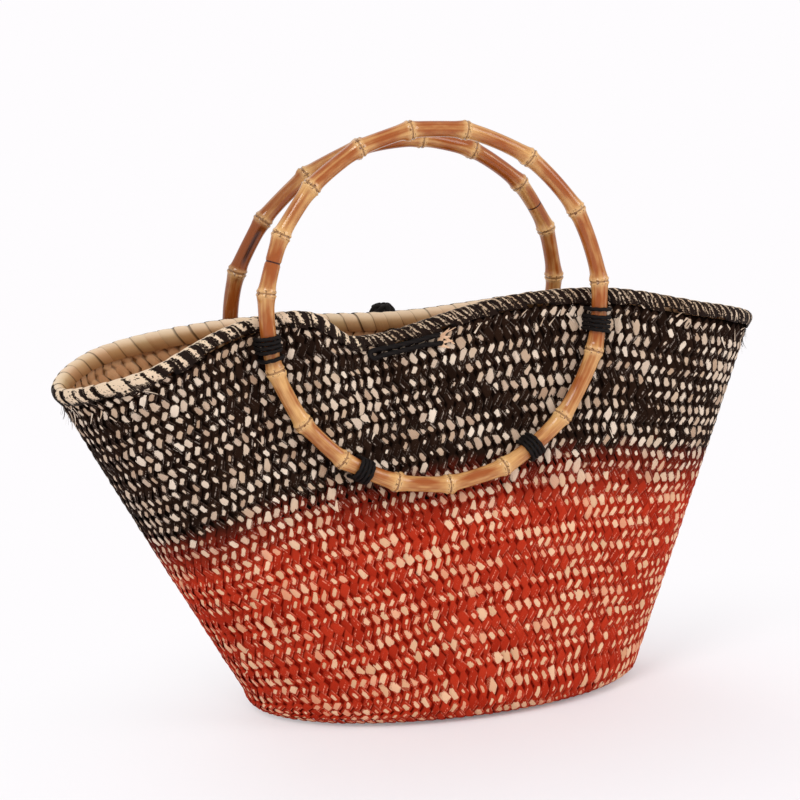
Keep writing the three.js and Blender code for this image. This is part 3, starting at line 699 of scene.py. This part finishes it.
dyed_leaf, shade, surface = new_material("dyed_palm_leaf", {"Specular IOR Level": 0.03})
a_place, b_place, luck_value = shade.attribute("cell")
black_value, pale_value, low_row = shade.attribute("dye")
first, second, third = (luck_value * 71.3).dice()
grain = shade.noise(a_place * 0.35, b_place * 4.0, luck_value * 37.0, 2.6, 3.0)
blot = shade.noise(a_place * 1.4, b_place * 1.1, luck_value * 91.0, 2.2, 2.0)
a_off = a_place + (first - 0.5) * 0.3
b_off = b_place + (second - 0.5) * 0.3
narrow = low_row * (1.0 - black_value * 0.6) * 0.25
tall = abs(a_off * 0.58 + (1.0 - low_row * 2.0) * b_off * 0.42)
reach = (abs(b_off) * 1.05 / (1.0 - narrow)).greater(tall * 1.5).greater(abs(a_off) * 0.9)
turn = third * 6.283
undyed = pale_value - reach
for way, left_over in ((turn, first), (turn + 2.0, second)):
    cut = a_off * way.cosine() + b_off * way.sine()
    undyed = undyed.lesser(left_over * 0.5 + pale_value * 0.5 - cut)
undyed = undyed + (blot - 0.5) * 0.3
undyed = undyed.greater((pale_value - 2.0) * 4.0)
undyed = undyed.rise(-0.03, 0.05) * pale_value.rise(0.1, 0.2)
sliver = abs(b_place - (second - 0.5) * 1.7).rise(0.15, 0.06) * abs(a_place).rise(0.75, 0.5)
sliver = sliver * (third - 0.4 + black_value * 0.25).rise(0.0, 0.05) * (blot - 0.47).rise(0.0, 0.08)
straw_colour = (luck_value * 0.6 + grain * 0.5).tint(srgb(206, 156, 116), srgb(240, 198, 162))
greyed = (luck_value * 0.6 + grain * 0.5).tint(srgb(176, 142, 110), srgb(238, 222, 204))
straw_colour = black_value.tint(straw_colour, greyed)
stained = black_value.tint(srgb(222, 128, 98), srgb(148, 112, 86))
straw_colour = (third.rise(0.5, 1.0) * 0.6 * pale_value.rise(1.5, 1.0)).tint(straw_colour, stained)
red_colour = (grain * 0.5 + second * 0.6).tint(srgb(144, 28, 11), srgb(190, 55, 31))
black_colour = (grain * 0.6 + second * 0.4).tint(srgb(11, 4, 2), srgb(48, 30, 20))
dyed = black_value.tint(red_colour, black_colour)
sliver_colour = black_value.tint(srgb(236, 150, 122), srgb(168, 152, 140))
worn = b_place.rise(0.66, 0.84) * b_place.rise(0.98, 0.92) * abs(a_place).rise(0.8, 0.6)
worn = worn * (blot - 0.42).rise(0.0, 0.12)
dyed = (sliver * 0.85).greater(worn * (0.45 - black_value * 0.33)).tint(dyed, sliver_colour)
leaf_colour = undyed.tint(dyed, straw_colour)
# Darker where each strip dives under its neighbours and along the seams between courses: painted shade.
painted_seam_shade = (b_place * 0.42 + (1.0 - low_row * 2.0) * a_place * 0.58).rise(0.4, 0.8)
painted_shade = 1.0 - (-1.0 * b_place).rise(0.7, 0.95) * 0.34 - abs(a_place).rise(0.8, 1.0) * 0.3 - painted_seam_shade * 0.3
painted_shade.times(leaf_colour).goes_to(surface.inputs["Base Color"])
(0.74 - undyed * 0.12 - grain * 0.12).goes_to(surface.inputs["Roughness"])
grain.relief(surface, 0.5)

plain_leaf, shade, surface = new_material("plain_palm_leaf", {"Specular IOR Level": 0.35})
a_place, b_place, luck_value = shade.attribute("cell")
grain = shade.noise(a_place * 0.35, b_place * 4.0, luck_value * 37.0, 2.6, 3.0)
blot = shade.noise(a_place, b_place, luck_value * 91.0, 0.9, 2.0)
leaf_colour = (luck_value * 0.5 + grain * 0.5).tint(srgb(186, 130, 84), srgb(228, 184, 138))
leaf_colour = (blot.rise(0.5, 0.75) * 0.5).tint(leaf_colour, srgb(190, 128, 84))
# Darker where each strip dives under its neighbours: painted shade.
painted_shade = 1.0 - (-1.0 * b_place).rise(0.5, 0.9) * 0.6 - abs(a_place).rise(0.7, 0.95) * 0.35
painted_shade.times(leaf_colour).goes_to(surface.inputs["Base Color"])
(0.62 - grain * 0.15).goes_to(surface.inputs["Roughness"])
grain.relief(surface, 0.5)

backing, shade, surface = new_material("shadowed_leaf", {"Roughness": 0.85, "Specular IOR Level": 0.02})
black_value, inner_side, _ = shade.attribute("dye")
# Dark red, near black and dark tan: painted shade for the gaps between the strips, outside in the red and
# black zones and on the inside.
gap_shade_colour = black_value.tint(srgb(136, 20, 7), srgb(18, 9, 5))
inner_side.tint(gap_shade_colour, srgb(126, 88, 52)).goes_to(surface.inputs["Base Color"])


def add_backing(piece, outer, inner, blackness, area):
    """Adds the closed layer that shows between the strips, coloured as painted shade."""
    inner_side = np.concatenate([np.zeros(outer.shape[:2]), np.ones(inner.shape[:2])], 1)
    dye = facts(blackness, inner_side, 0.0)
    layer = np.concatenate([outer, inner[:, ::-1]], 1)
    piece.add(layer, area, 2, round_rows=True, round_columns=True, flip=True, dye=dye)


BACKING_TURNS = np.arange(0, 360, 2.5)
BACKING_STEPS = 15
for name, node, blackness, slot, outer_kept, inner_kept in (
    ("red_wall", "wall_plait_red", 0.0, "red plait", ~is_black, ~inner_black),
    ("black_wall", "wall_plait_black", 1.0, "black plait", is_black, inner_black),
):
    basket = Piece()
    basket.add(outside[outer_kept], (0, 0, 1, 0.66), 0, cell=place[outer_kept], dye=dye[outer_kept])
    basket.add(inside[inner_kept], (0, 0.66, 1, 0.95), 1, flip=True, cell=inner_place[inner_kept])
    steps = np.linspace(*((edge_share, TOP_COURSE) if blackness else (0, edge_share)), BACKING_STEPS)
    turns, up = np.meshgrid(BACKING_TURNS, steps, indexing="ij")
    skins = (skin(turns, up, np.full(up.shape, off)) for off in (BACKING, -BACKING))
    add_backing(basket, *skins, blackness, (0, 0.95, 1, 1))
    basket.make(name, [dyed_leaf, plain_leaf, backing], "bag", slot, [node])


# Loose ends
# Where strips of the plait were joined, their cut ends stick out of the weave: most of them just under
# the rim and at the two ends of the bag, and a frayed bunch beside the closing loop.
def loose_end(degrees, share, off, length, width, lean, rise):
    """One thin tapered strip that starts in the plait and lifts away from it."""
    t = np.linspace(0, 1, 5)[:, None]
    half = np.array([-0.5, 0.5])[None] * width * (1 - 0.75 * t)
    along_run, up_run = math.cos(math.radians(lean)), math.sin(math.radians(lean))
    around = np.linalg.norm(wall(degrees + 0.5, share) - wall(degrees - 0.5, share))
    x = t * length * along_run - half * up_run
    z = t * length * up_run + half * along_run
    share = np.clip(share + z / wall_length, 0, 0.999)
    return skin(degrees + x / around, share, off + rise * t ** 2 + 0 * half)


AT_ENDS, FRAYED = 14, 8
STRAW_DYE, BARE = (0.2, 1.0), 3.0
ends = []
# How many and how far off the wall, then the limits of share, lean, length, width and lift.
for amount, off, shares, leans, lengths, widths, lifts in (
    (150, 2.2, (0.93, 0.985), (40, 75), (4, 9), (0.8, 1.8), (0.3, 1.2)),
    (90, 2.1, (0.1, 0.92), (35, 70), (3, 7), (0.7, 1.4), (0.2, 1.0)),
):
    for _ in range(amount):
        turn = weave.uniform(0, 360)
        lean = weave.choice((-1, 1)) * weave.uniform(*leans) + weave.choice((0, 180))
        ends.append(loose_end(turn, weave.uniform(*shares), off, weave.uniform(*lengths),
                              weave.uniform(*widths), lean, weave.uniform(*lifts)))
for turn in (*weave.normal(183, 5, AT_ENDS), *weave.normal(357, 5, AT_ENDS)):
    ends.append(loose_end(turn, weave.uniform(0.94, 0.98), 2.3, weave.uniform(5, 10),
                          weave.uniform(0.9, 1.8), weave.uniform(-120, -60), weave.uniform(1.0, 4.5)))
fray_turn, fray_share = wall_at(loop_top[0], (loop_top[2] + loop_low[2]) / 2, -1)
for _ in range(FRAYED):
    turn, share = fray_turn + weave.uniform(-0.4, 0.8), fray_share + weave.uniform(-0.014, 0.012)
    ends.append(loose_end(turn, share, 2.6, weave.uniform(6, 10), weave.uniform(1.8, 3.0),
                          weave.uniform(-50, 65), weave.uniform(0.6, 2.2)))
ends = np.array(ends)
in_fray = np.arange(len(ends)) >= len(ends) - FRAYED
bare_end = np.concatenate([weave.random(len(ends) - FRAYED) < 0.5, np.ones(FRAYED, bool)])
tan_end = (ends[..., 2].mean((1, 2)) < BLACK_EDGE) | in_fray
end_black, end_pale = np.where(tan_end, *STRAW_DYE), np.where(bare_end, BARE, 0.0)
end_along, end_across = np.linspace(-0.5, 0.5, 5)[None, :, None], np.array([-0.4, 0.4])
end_place = facts(end_along, end_across, weave.random(len(ends))[EACH])
end_dye = facts(end_black[EACH], end_pale[EACH], 0 * end_along * end_across)
loose = Piece()
loose.add(ends, WHOLE_SHEET, 0, cell=end_place, dye=end_dye)
loose.make("loose_straw", [dyed_leaf], "bag", "straw")


# The bottom
# A flat oval mat of the same plait, wound from the middle out and sewn to the lowest course of the
# wall. Its underside is dyed red and its upper side is plain.
MAT_DEPTH = FOOT_DEPTH - FOOT_TURN
MAT_LINE = FOOT_LENGTH - FOOT_DEPTH
MAT_ROWS = 9
MAT_LOW, MAT_HIGH, MAT_BACKING = 0.5, 1.8, 0.7
MAT_CHANCE, MAT_PATCH = 0.5, (0.4, 0.9)


def mat(degrees, share):
    degrees, share = np.broadcast_arrays(np.asarray(degrees, float), np.asarray(share, float))
    c, s = np.cos(np.radians(degrees)), np.sin(np.radians(degrees))
    x = FOOT_SHIFT + (MAT_LINE + MAT_DEPTH * share) * c
    return np.stack([x, MAT_DEPTH * share * s, 0 * c + PLAIT / 2], -1)


mat_rows = (np.arange(MAT_ROWS) + 0.5) / MAT_ROWS
bottom = Piece()
for way, area, slot in ((-1, (0, 0, 1, 0.48), 0), (1, (0, 0.48, 1, 0.96), 1)):
    cells = woven_rows(mat_rows, CELL_PITCH, STRIP_LENGTH, STRIP_WIDTH, mat)
    count = len(cells["row"])
    points = mat(cells["degrees"], np.abs(cells["share"]))
    points[..., 2] += way * strip_height(count, MAT_LOW, MAT_HIGH)
    pale = np.where(weave.random(count) < MAT_CHANCE, weave.uniform(*MAT_PATCH, count), 0.0)
    dye = facts(0 * ALONG, pale[EACH], 0 * ALONG)
    bottom.add(points, area, slot, flip=way > 0, cell=strip_places(count), dye=dye)
turns, shares = np.meshgrid(np.arange(0, 360, 5.0), np.linspace(0.02, 1, 8), indexing="ij")
skins = (mat(turns, shares) + np.array((0, 0, z)) for z in (-MAT_BACKING, MAT_BACKING))
add_backing(bottom, *skins, 0.0, (0, 0.96, 1, 1))
bottom.make("bottom_mat", [dyed_leaf, plain_leaf, backing], "bag", "red plait", ["bottom_plait"])


# The rim
# A round core on the wall's top edge, wrapped on the slant with palm strips that overlap like scales. The
# wall's dye has run up over their outer halves, and at the right end only threads of straw are left bare.
ROLL = 3.3
WRAP_PITCH, WRAP_WIDTH, WRAP_THICK, WRAP_SLANT, WRAP_ROWS = 9.6, 12.4, 0.9, 0.5, 20
WRAP_ACROSS, WRAP_LIFT = (-1, -0.6, -0.1, 0.45, 0.88, 1.0), (0, 0.5, 0.85, 1.1, 1.0, 0.7)
INSIDE_END = [(-2.8, -6.6, 0), (-3.1, -4.8, 0), (-3.3, -3.0, 0)]
OUTSIDE_END = [(2.7, -2.8, 0), (2.1, -4.7, 0)]
END_SPREAD = (-1.6, 1.8)
DYE_FROM, DYE_WIDTH = -0.3, 1.6
BLOCKS, BLOCK_CHANCE, FEWER_AT_RIGHT = (0.3, 0.7), 0.95, 0.4
THREADS_FROM, THREADS_WIDTH = 0.38, 0.15
over_roll = np.radians(np.arange(190, -15, -20))
over_roll = np.stack([ROLL * np.cos(over_roll), ROLL * np.sin(over_roll), 0 * over_roll], -1)
section = smooth_path([*INSIDE_END, *over_roll, *OUTSIDE_END], 8)
section_run = run_along(section)
wrap_run = np.linspace(0, section_run[-1], WRAP_ROWS)
wrap = np.stack([np.interp(wrap_run, section_run, section[:, i]) for i in (0, 1)], -1)
wrap_way = unit(np.gradient(wrap, axis=0))
wrap_away = np.stack([-wrap_way[:, 1], wrap_way[:, 0]], -1)
rim_run = run_along(rim(ALL_ROUND))
wraps = round(rim_run[-1] / WRAP_PITCH)
wrap_step = rim_run[-1] / wraps
middle = np.arange(wraps) * wrap_step + weave.normal(0, 0.5, wraps)
wide = WRAP_WIDTH / 2 * (1 + weave.normal(0, 0.05, wraps))
slant = WRAP_SLANT + weave.normal(0, 0.04, wraps)
t, b = (v[None] for v in np.meshgrid(wrap_run - wrap_run.mean(), WRAP_ACROSS, indexing="ij"))
run = middle[EACH] + slant[EACH] * t + b * wide[EACH]
at, out, up = rim_frame(np.interp(run % rim_run[-1], rim_run, ALL_ROUND))
lift = WRAP_THICK * np.interp(b, WRAP_ACROSS, WRAP_LIFT)
lift = lift + weave.normal(0, 0.12, wraps)[EACH] * b
lower_end = weave.uniform(*END_SPREAD, wraps)[EACH] * np.linspace(0, 1, WRAP_ROWS)[None, :, None] ** 6
flat = wrap[None, :, None] + wrap_away[None, :, None] * lift[..., None]
points = at + out * flat[..., :1] + up * (flat[..., 1:] - lower_end[..., None])
painted = np.clip((wrap[:, 0] - DYE_FROM) / DYE_WIDTH, 0, 1)[None, :, None]
at_right = 0.5 + 0.5 * np.cos(np.interp(middle % rim_run[-1], rim_run, np.radians(ALL_ROUND)))
block = weave.uniform(*BLOCKS, wraps) - FEWER_AT_RIGHT * at_right
block = np.where(weave.random(wraps) < BLOCK_CHANCE - FEWER_AT_RIGHT * at_right, block, 0.0)[EACH]
t = t / wrap_run[-1] * 2

binding_leaf, shade, surface = new_material("binding_palm_leaf", {"Specular IOR Level": 0.06})
a_place, b_place, luck_value = shade.attribute("cell")
paint, block_value, threaded = shade.attribute("dye")
grain = shade.noise(a_place * 0.5, b_place * 7.0, luck_value * 37.0, 2.6, 4.0)
blot = shade.noise(a_place * 4.0, b_place * 1.6, luck_value * 53.0, 2.6, 3.0)
first, second, third = (luck_value * 71.3).dice()
leaf_colour = (luck_value * 0.55 + grain * 0.45).tint(srgb(198, 150, 98), srgb(234, 200, 152))
leaf_colour = (first.rise(0.55, 0.9) * 0.6).tint(leaf_colour, srgb(226, 176, 134))
leaf_colour = (second.rise(0.6, 0.95) * 0.4).tint(leaf_colour, srgb(204, 182, 130))
# Paler from the crest outward, partly the outer leaf's faded tone and partly painted light on the crest;
# darker down the inside towards its lower end, which is painted shade.
leaf_colour = (a_place.rise(-0.55, 0.05) * 0.75).tint(leaf_colour, srgb(226, 206, 182))
leaf_colour = (a_place.rise(-0.2, -1.0) * 0.8).tint(leaf_colour, srgb(174, 116, 66))
kept = (block_value - abs(b_place - 0.2 - a_place * 0.25) + (blot - 0.5) * 0.9).rise(0.0, 0.1)
kept = kept * (0.7 + first * 0.2 - a_place + (blot - 0.5) * 0.6).rise(0.0, 0.08)
kept = kept * (blot - 0.36).rise(0.0, 0.06) * block_value.rise(0.1, 0.2) * (1.0 - threaded)
thread = (b_place * 8.0 - a_place * 7.0 + luck_value * 40.0 + blot * 5.0).sine().rise(0.55, 0.8)
thread = thread * (blot - 0.42).rise(0.0, 0.08) * (0.8 - a_place + (blot - 0.5) * 1.2).rise(0.0, 0.1)
kept = kept.greater(thread * threaded)
thread_colour = third.tint(srgb(168, 136, 104), srgb(212, 190, 166))
leaf_colour = (threaded * paint.rise(0.2, 0.6) * 0.85).tint(leaf_colour, thread_colour)
scored = abs(b_place - (third - 0.5) * 0.9).rise(0.1, 0.04) * (blot - 0.45).rise(0.0, 0.1)
kept = kept.greater(scored * paint * 0.8)
paint_edge = (paint + (blot - 0.5) * 0.8).rise(0.35, 0.6) * (1.0 - kept)
paint_colour = grain.tint(srgb(14, 7, 5), srgb(44, 29, 22))
leaf_colour = paint_edge.tint(leaf_colour, paint_colour)
# Darker at both long edges of each wrap, most where it lies under its neighbour, and towards its inside end:
# painted shade.
painted_shade = 1.0 - (-1.0 * b_place).rise(0.4, 0.66) * 0.6 - b_place.rise(0.92, 1.0) * 0.4
painted_shade = painted_shade - a_place.rise(0.1, -0.9) * 0.2
painted_shade.times(leaf_colour).goes_to(surface.inputs["Base Color"])
(0.55 - grain * 0.15 + paint_edge * 0.1).goes_to(surface.inputs["Roughness"])
grain.relief(surface, 0.4)

rim_wrap = Piece()
threads = (weave.random(wraps) < (at_right - THREADS_FROM) / THREADS_WIDTH)[EACH].astype(float)
dye = facts(painted, block, threads + 0 * points[..., 0])
place = facts(t, b, weave.random(wraps)[EACH])
rim_wrap.add(points, (0, 0, 1, 0.92), 0, flip=True, cell=place, dye=dye)
turns = np.arange(0, 360, 2.0)
at, out, up = rim_frame(turns)
angle = np.radians(np.arange(0, 360, 30.0))[None, :, None]
core = at[:, None] + (out[:, None] * np.cos(angle) + up[:, None] * np.sin(angle)) * (ROLL - 0.2)
# The core takes the darkest gap colour, so the gaps between the wraps show painted shade.
rim_wrap.add(core, (0, 0.92, 1, 1), 1, round_rows=True, round_columns=True, dye=(1.0, 0.0, 0.0))
rim_wrap.make("rim_wrap", [binding_leaf, backing], "bag", "straw", ["rim_binding", "rim_core"])


# The ring handles
# Each is one length of whip bamboo, bent round in steam and joined end to end on a hidden wooden peg.
# Its nodes stand out as double ridges with buds and root scars between them.
RING_RADIUS, CANE_RADIUS = 109.0, 5.2
FRONT_NODES = (4, 29, 53, 77, 96, 114, 134, 152, 171, 196, 215, 233, 253, 271, 291, 317, 341)
BACK_NODES = (5, 23, 43, 65, 84, 105, 125, 145, 164, 198, 215, 232, 252, 270, 290, 314, 338)
CANE_SIDES, CANE_BEND = 24, 0.8
GROOVE_AT, GROOVE_HALF, GROOVE_ROUND, GROOVE_WIDTH, GROOVE_DEPTH = 154.0, 7.0, 1.5, 0.3, 1.1
NEAR_NODE = (0, 0.5, 1.0, 1.5, 2.1, 2.8, 3.6, 4.8, 6.4)


def ring_place(side, lean, middle):
    """Where a point stands for an angle on the ring, a radius and a depth behind the ring's plane."""
    lean = math.radians(lean)
    up = np.array((0, -side * math.sin(lean), math.cos(lean)))
    out = np.array((0, side * math.cos(lean), math.sin(lean)))

    def at(degrees, radius, depth):
        turn = np.radians(np.asarray(degrees, float))
        flat = np.stack([np.cos(turn), 0 * turn, 0 * turn], -1) + np.sin(turn)[..., None] * up
        return np.asarray(middle) + flat * np.asarray(radius)[..., None] - out * np.asarray(depth)[..., None]

    return at


bamboo, shade, surface = new_material("whip_bamboo", {
    "Specular IOR Level": 0.0, "Coat Weight": 1.0, "Coat IOR": 1.42, "Coat Roughness": 0.08})
from_node, round_it, luck_value = shade.attribute("cell")
from_joint, shaded, middle_share = shade.attribute("dye")
groove, _, _ = shade.attribute("mark")
turned, turned_by = (round_it * 6.283).sine(), (round_it * 6.283).cosine()
streak = shade.noise(turned * 2.2, turned_by * 2.2, luck_value * 23.0 + from_node * 0.01, 1.0, 2.0)
fibre = shade.noise(turned * 26.0, turned_by * 26.0, from_node * 0.03 + luck_value * 9.0, 1.0, 2.0)
cloud = shade.noise(turned, turned_by, from_node * 0.07 + luck_value * 31.0, 0.9, 2.0)
scar = shade.noise(turned * 2.4, turned_by * 2.4, from_node * 0.55 + luck_value * 17.0, 1.6, 1.0)
# The back ring's painted shade also makes it browner.
brown = streak * 0.9 + cloud + luck_value * 0.4 + shaded * 0.45 + middle_share * 0.3
brown = (brown - 0.9).rise(0.05, 0.8)
cane_colour = fibre.tint(srgb(196, 132, 66), srgb(240, 198, 134))
cane_colour = brown.tint(cane_colour, srgb(156, 80, 30))
node_band = from_node.rise(4.0, 1.2)
cane_colour = (node_band * 0.5).tint(cane_colour, srgb(232, 188, 130))
scars = scar.rise(0.54, 0.66) * from_node.rise(2.6, 1.3) * 0.85
cane_colour = scars.tint(cane_colour, srgb(92, 48, 20))
ridge_line = from_node.rise(0.9, 0.25)
cane_colour = (ridge_line * 0.6).tint(cane_colour, srgb(104, 56, 24))
joint_line = 1.0 - abs(from_joint).rise(0.35, 0.6)
# The joint line is the cane's own dark line; the dark in the back ring's groove is painted shade.
cane_colour = joint_line.greater(groove).tint(cane_colour, srgb(62, 22, 10))
# The back ring is darkened by its painted shade, most on its left.
(1.0 - shaded * 0.25).times(cane_colour).goes_to(surface.inputs["Base Color"])
(0.34 + fibre * 0.16 + node_band * 0.2).goes_to(surface.inputs["Roughness"])
(fibre * 0.3 - scars - ridge_line * 0.6).relief(surface, 0.2)

rings = {}
# The ring's side of the bag, its lean, middle and nodes, where its ends meet, and how much painted shade it
# gets; the shaded back ring also carries the groove.
for name, side, lean, middle, nodes, joint, dark in (
    ("front", -1, 8.44, (0, -36.34, 258.68), FRONT_NODES, 161.0, 0.0),
    ("back", 1, 8.79, (0, 37.06, 245.41), BACK_NODES, 33.0, 1.0),
):
    at = ring_place(side, lean, middle)
    rings[name] = side, lean, at
    growth = np.random.default_rng(5 + side)
    degrees, gap, share, luck, bud = [], [], [], [], []
    for start, finish in zip(nodes, (*nodes[1:], nodes[0] + 360)):
        span = math.radians(finish - start) * RING_RADIUS
        near = np.array(NEAR_NODE)
        steps = np.concatenate([near, np.linspace(near[-1], span - near[-1], 16)[1:-1], span - near[:0:-1]])
        degrees.append(start + np.degrees(steps / RING_RADIUS))
        gap.append(np.where(steps < span / 2, steps, steps - span))
        share.append(steps / span)
        luck.append(np.full(len(steps), growth.random()))
        bud.append(np.full(len(steps), growth.uniform(0, 6.3)))
    degrees, gap, share, luck, bud = (np.concatenate(v)[:, None] for v in (degrees, gap, share, luck, bud))
    angle = (np.arange(CANE_SIDES) / CANE_SIDES * 2 * math.pi)[None]
    joint_gap = np.radians((degrees - joint + 180) % 360 - 180) * RING_RADIUS
    off_bud = (angle - bud + math.pi) % (2 * math.pi) - math.pi
    # The waist between nodes, the swelling at a node, its two ridges, the lines at node and joint, the bud
    # and the hollow above the bud.
    reach = CANE_RADIUS - 0.3 * np.sin(math.pi * share)
    reach = reach + 0.75 * hump(gap, np.where(gap > 0, 5.0, 3.2))
    reach = reach + 0.45 * hump(gap - 1.3, 0.7) + 0.4 * hump(gap + 1.3, 0.7)
    reach = reach - 0.25 * hump(gap, 0.5) - 0.55 * hump(joint_gap, 0.5)
    reach = reach + 0.9 * hump(gap - 2.6, 1.7) * hump(off_bud, 0.3)
    reach = reach - 0.55 * hump(off_bud, 0.5) * np.exp(-3 * share) * (np.abs(gap) > 4)
    cut = hump((angle - GROOVE_ROUND + math.pi) % (2 * math.pi) - math.pi, GROOVE_WIDTH, 4)
    cut = dark * cut * hump(degrees - GROOVE_AT, GROOVE_HALF, 6)
    reach = reach - GROOVE_DEPTH * cut
    # Painted shade for the back ring, strongest on its left side.
    painted_ring_shade = dark * (0.2 + 0.8 * np.clip(-np.cos(np.radians(degrees)), 0, 1))
    bent = CANE_BEND * (0.5 - np.sin(math.pi * share))
    points = at(degrees + 0 * angle, RING_RADIUS + bent + reach * np.cos(angle), reach * np.sin(angle))
    cell = facts(np.abs(gap), angle / (2 * math.pi), luck)
    dye = facts(joint_gap, painted_ring_shade + 0 * angle, np.sin(math.pi * share))
    cane = Piece()
    cane.add(points, WHOLE_SHEET, round_rows=True, round_columns=True, flip=True, cell=cell, dye=dye,
             mark=cut[..., None])
    cane.make(name + "_ring", [bamboo], name + "_handle", "bamboo", [name + "_handle_cane"])


# The lashings
# Black cord, sewn through the wall and round the cane in four close turns at four places on each ring,
# and at the rim with one more turn a little apart. A barrel knot inside the wall holds its ends.
CORD_RADIUS, CORD_PITCH, CORD_STEP, TURNS = 1.0, 2.5, 5.0, 4
RING_RISE = 2.5
FOOT_LEFT, FOOT_RIGHT = 241.0, 302.5
LASH = CANE_RADIUS + GAP + CORD_RADIUS
LACED_RADIUS = 1.38
drop = math.degrees(math.asin((RING_RISE + SKIRT + UNDER_SKIRT + CORD_RADIUS) / RING_RADIUS))
pitch = math.degrees(CORD_PITCH * (1 + LASH / RING_RADIUS) / RING_RADIUS)
step = math.degrees(CORD_STEP / RING_RADIUS)
four = np.arange(TURNS) * pitch
LASHED_AT = {
    "rim_left": [*(180 + drop + four), 180 + drop + four[-1] + step],
    "rim_right": [360 - drop, *(360 - drop - step - four)],
    "foot_left": list(FOOT_LEFT - four.mean() + four),
    "foot_right": list(FOOT_RIGHT - four.mean() + four),
}
for name, (side, lean, at) in rings.items():
    for spot, turns in LASHED_AT.items():
        depth = 0.0
        for degrees in turns:
            for across in (-LASH, 0, LASH):
                p = at(degrees, RING_RADIUS + across, 0)
                behind = abs(p[1]) - abs(wall(*wall_at(p[0], p[2], side))[1])
                depth = max(depth, behind * math.cos(math.radians(lean)))
        depth += PLAIT / 2 + 2 * GAP + CORD_RADIUS
        route = []
        for degrees in turns:
            route += [at(degrees, RING_RADIUS - LASH, d) for d in (depth, depth / 2)]
            for arc in np.radians(np.linspace(180, 0, 11)):
                route.append(at(degrees, RING_RADIUS + LASH * math.cos(arc), -LASH * math.sin(arc)))
            route += [at(degrees, RING_RADIUS + LASH, d) for d in (depth / 2, depth)]
        lashing = cord_piece(f"{name}_lacing_{spot}", smooth_path(route, 2), LACED_RADIUS, None,
                             f"{name}_lashing_{spot}", sides=10, lay=5.0)
        middle = float(np.mean(turns))
        ends = [at(middle, RING_RADIUS, d) * MM for d in (depth, 0.0)]
        name + "_handle"
        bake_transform(lashing)
        knot_depth = depth + CORD_RADIUS + 2 * GAP + KNOT_RADIUS
        ends = [at(d, RING_RADIUS + x, knot_depth) for d, x in ((turns[0], -LASH), (turns[-1], LASH))]
        knot_piece(f"{name}_barrel_{spot}", *ends, f"{name}_knot_{spot}")


# The button
# A ball of black cord, plaited round itself over a small bead, on a short shank of the same cord. The
# shank goes through the back wall under the rim, and a knot inside keeps it there.
BUTTON_RADIUS, BUTTON_X, BUTTON_DROP, SHANK_RADIUS = 9.0, -7.0, 5.0, 1.5
BALL_CORD, BALL_RISE, BALL_WAVES, BALL_SPINS = 1.9, math.radians(62), 7, 5
BEAD_RADIUS = BUTTON_RADIUS - 1.6
RIM_REACH = 4.7


def on_ball(turn, rise):
    return np.stack([np.cos(rise) * np.cos(turn), np.cos(rise) * np.sin(turn), np.sin(rise)], -1)


button_turn = np.array(math.degrees(math.acos(BUTTON_X / RIM_LENGTH)))
button_at, button_out, button_up = rim_frame(button_turn)
shank_drop = SKIRT + UNDER_SKIRT + SHANK_RADIUS
ball = button_at + button_out * (RIM_REACH + GAP + BUTTON_RADIUS) - button_up * BUTTON_DROP
t = np.linspace(0, 2 * math.pi, 340, endpoint=False)
reach = BUTTON_RADIUS - BALL_CORD + 0.5 * np.sin(2 * BALL_WAVES * t)
line = on_ball(BALL_SPINS * t, BALL_RISE * np.sin(BALL_WAVES * t))
points, carried = cord_tube(ball + line * reach[:, None], BALL_CORD, 10, lay=9.0)
button = Piece()
button.add(points, (0, 0, 1, 0.9), round_rows=True, round_columns=True, cord=carried)
turns, rises = np.meshgrid(np.arange(0, 360, 15.0), np.linspace(-89.5, 89.5, 13), indexing="ij")
bead = ball + on_ball(np.radians(turns), np.radians(rises)) * BEAD_RADIUS
# The bead carries the lowest ply value, so it takes the darkest groove colour: painted shade where it shows
# between the cords.
button.add(bead, (0, 0.9, 1, 1), round_rows=True, flip=True, cord=(0, 0, -1.0))
button.make("cord_button", [black_cord], "button", "cord", ["button"])
shank_at = button_at - button_up * shank_drop
shank_line = smooth_path([shank_at - button_out * (PLAIT / 2 + 1), shank_at + button_out * PLAIT,
                          between(shank_at + button_out * PLAIT, ball, 0.6), ball], 8)
shank = cord_piece("button_shank", shank_line, SHANK_RADIUS, None, "button_cord", sides=10)
shank_at * MM
ball * MM
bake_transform(shank)
knot_at = shank_at - button_out * (PLAIT / 2 + GAP + KNOT_RADIUS)
knot_ends = [knot_at + np.array((x, 0, 0)) for x in (-KNOT_RADIUS, KNOT_RADIUS)]
knot_piece("button_barrel", *knot_ends, "button_knot")
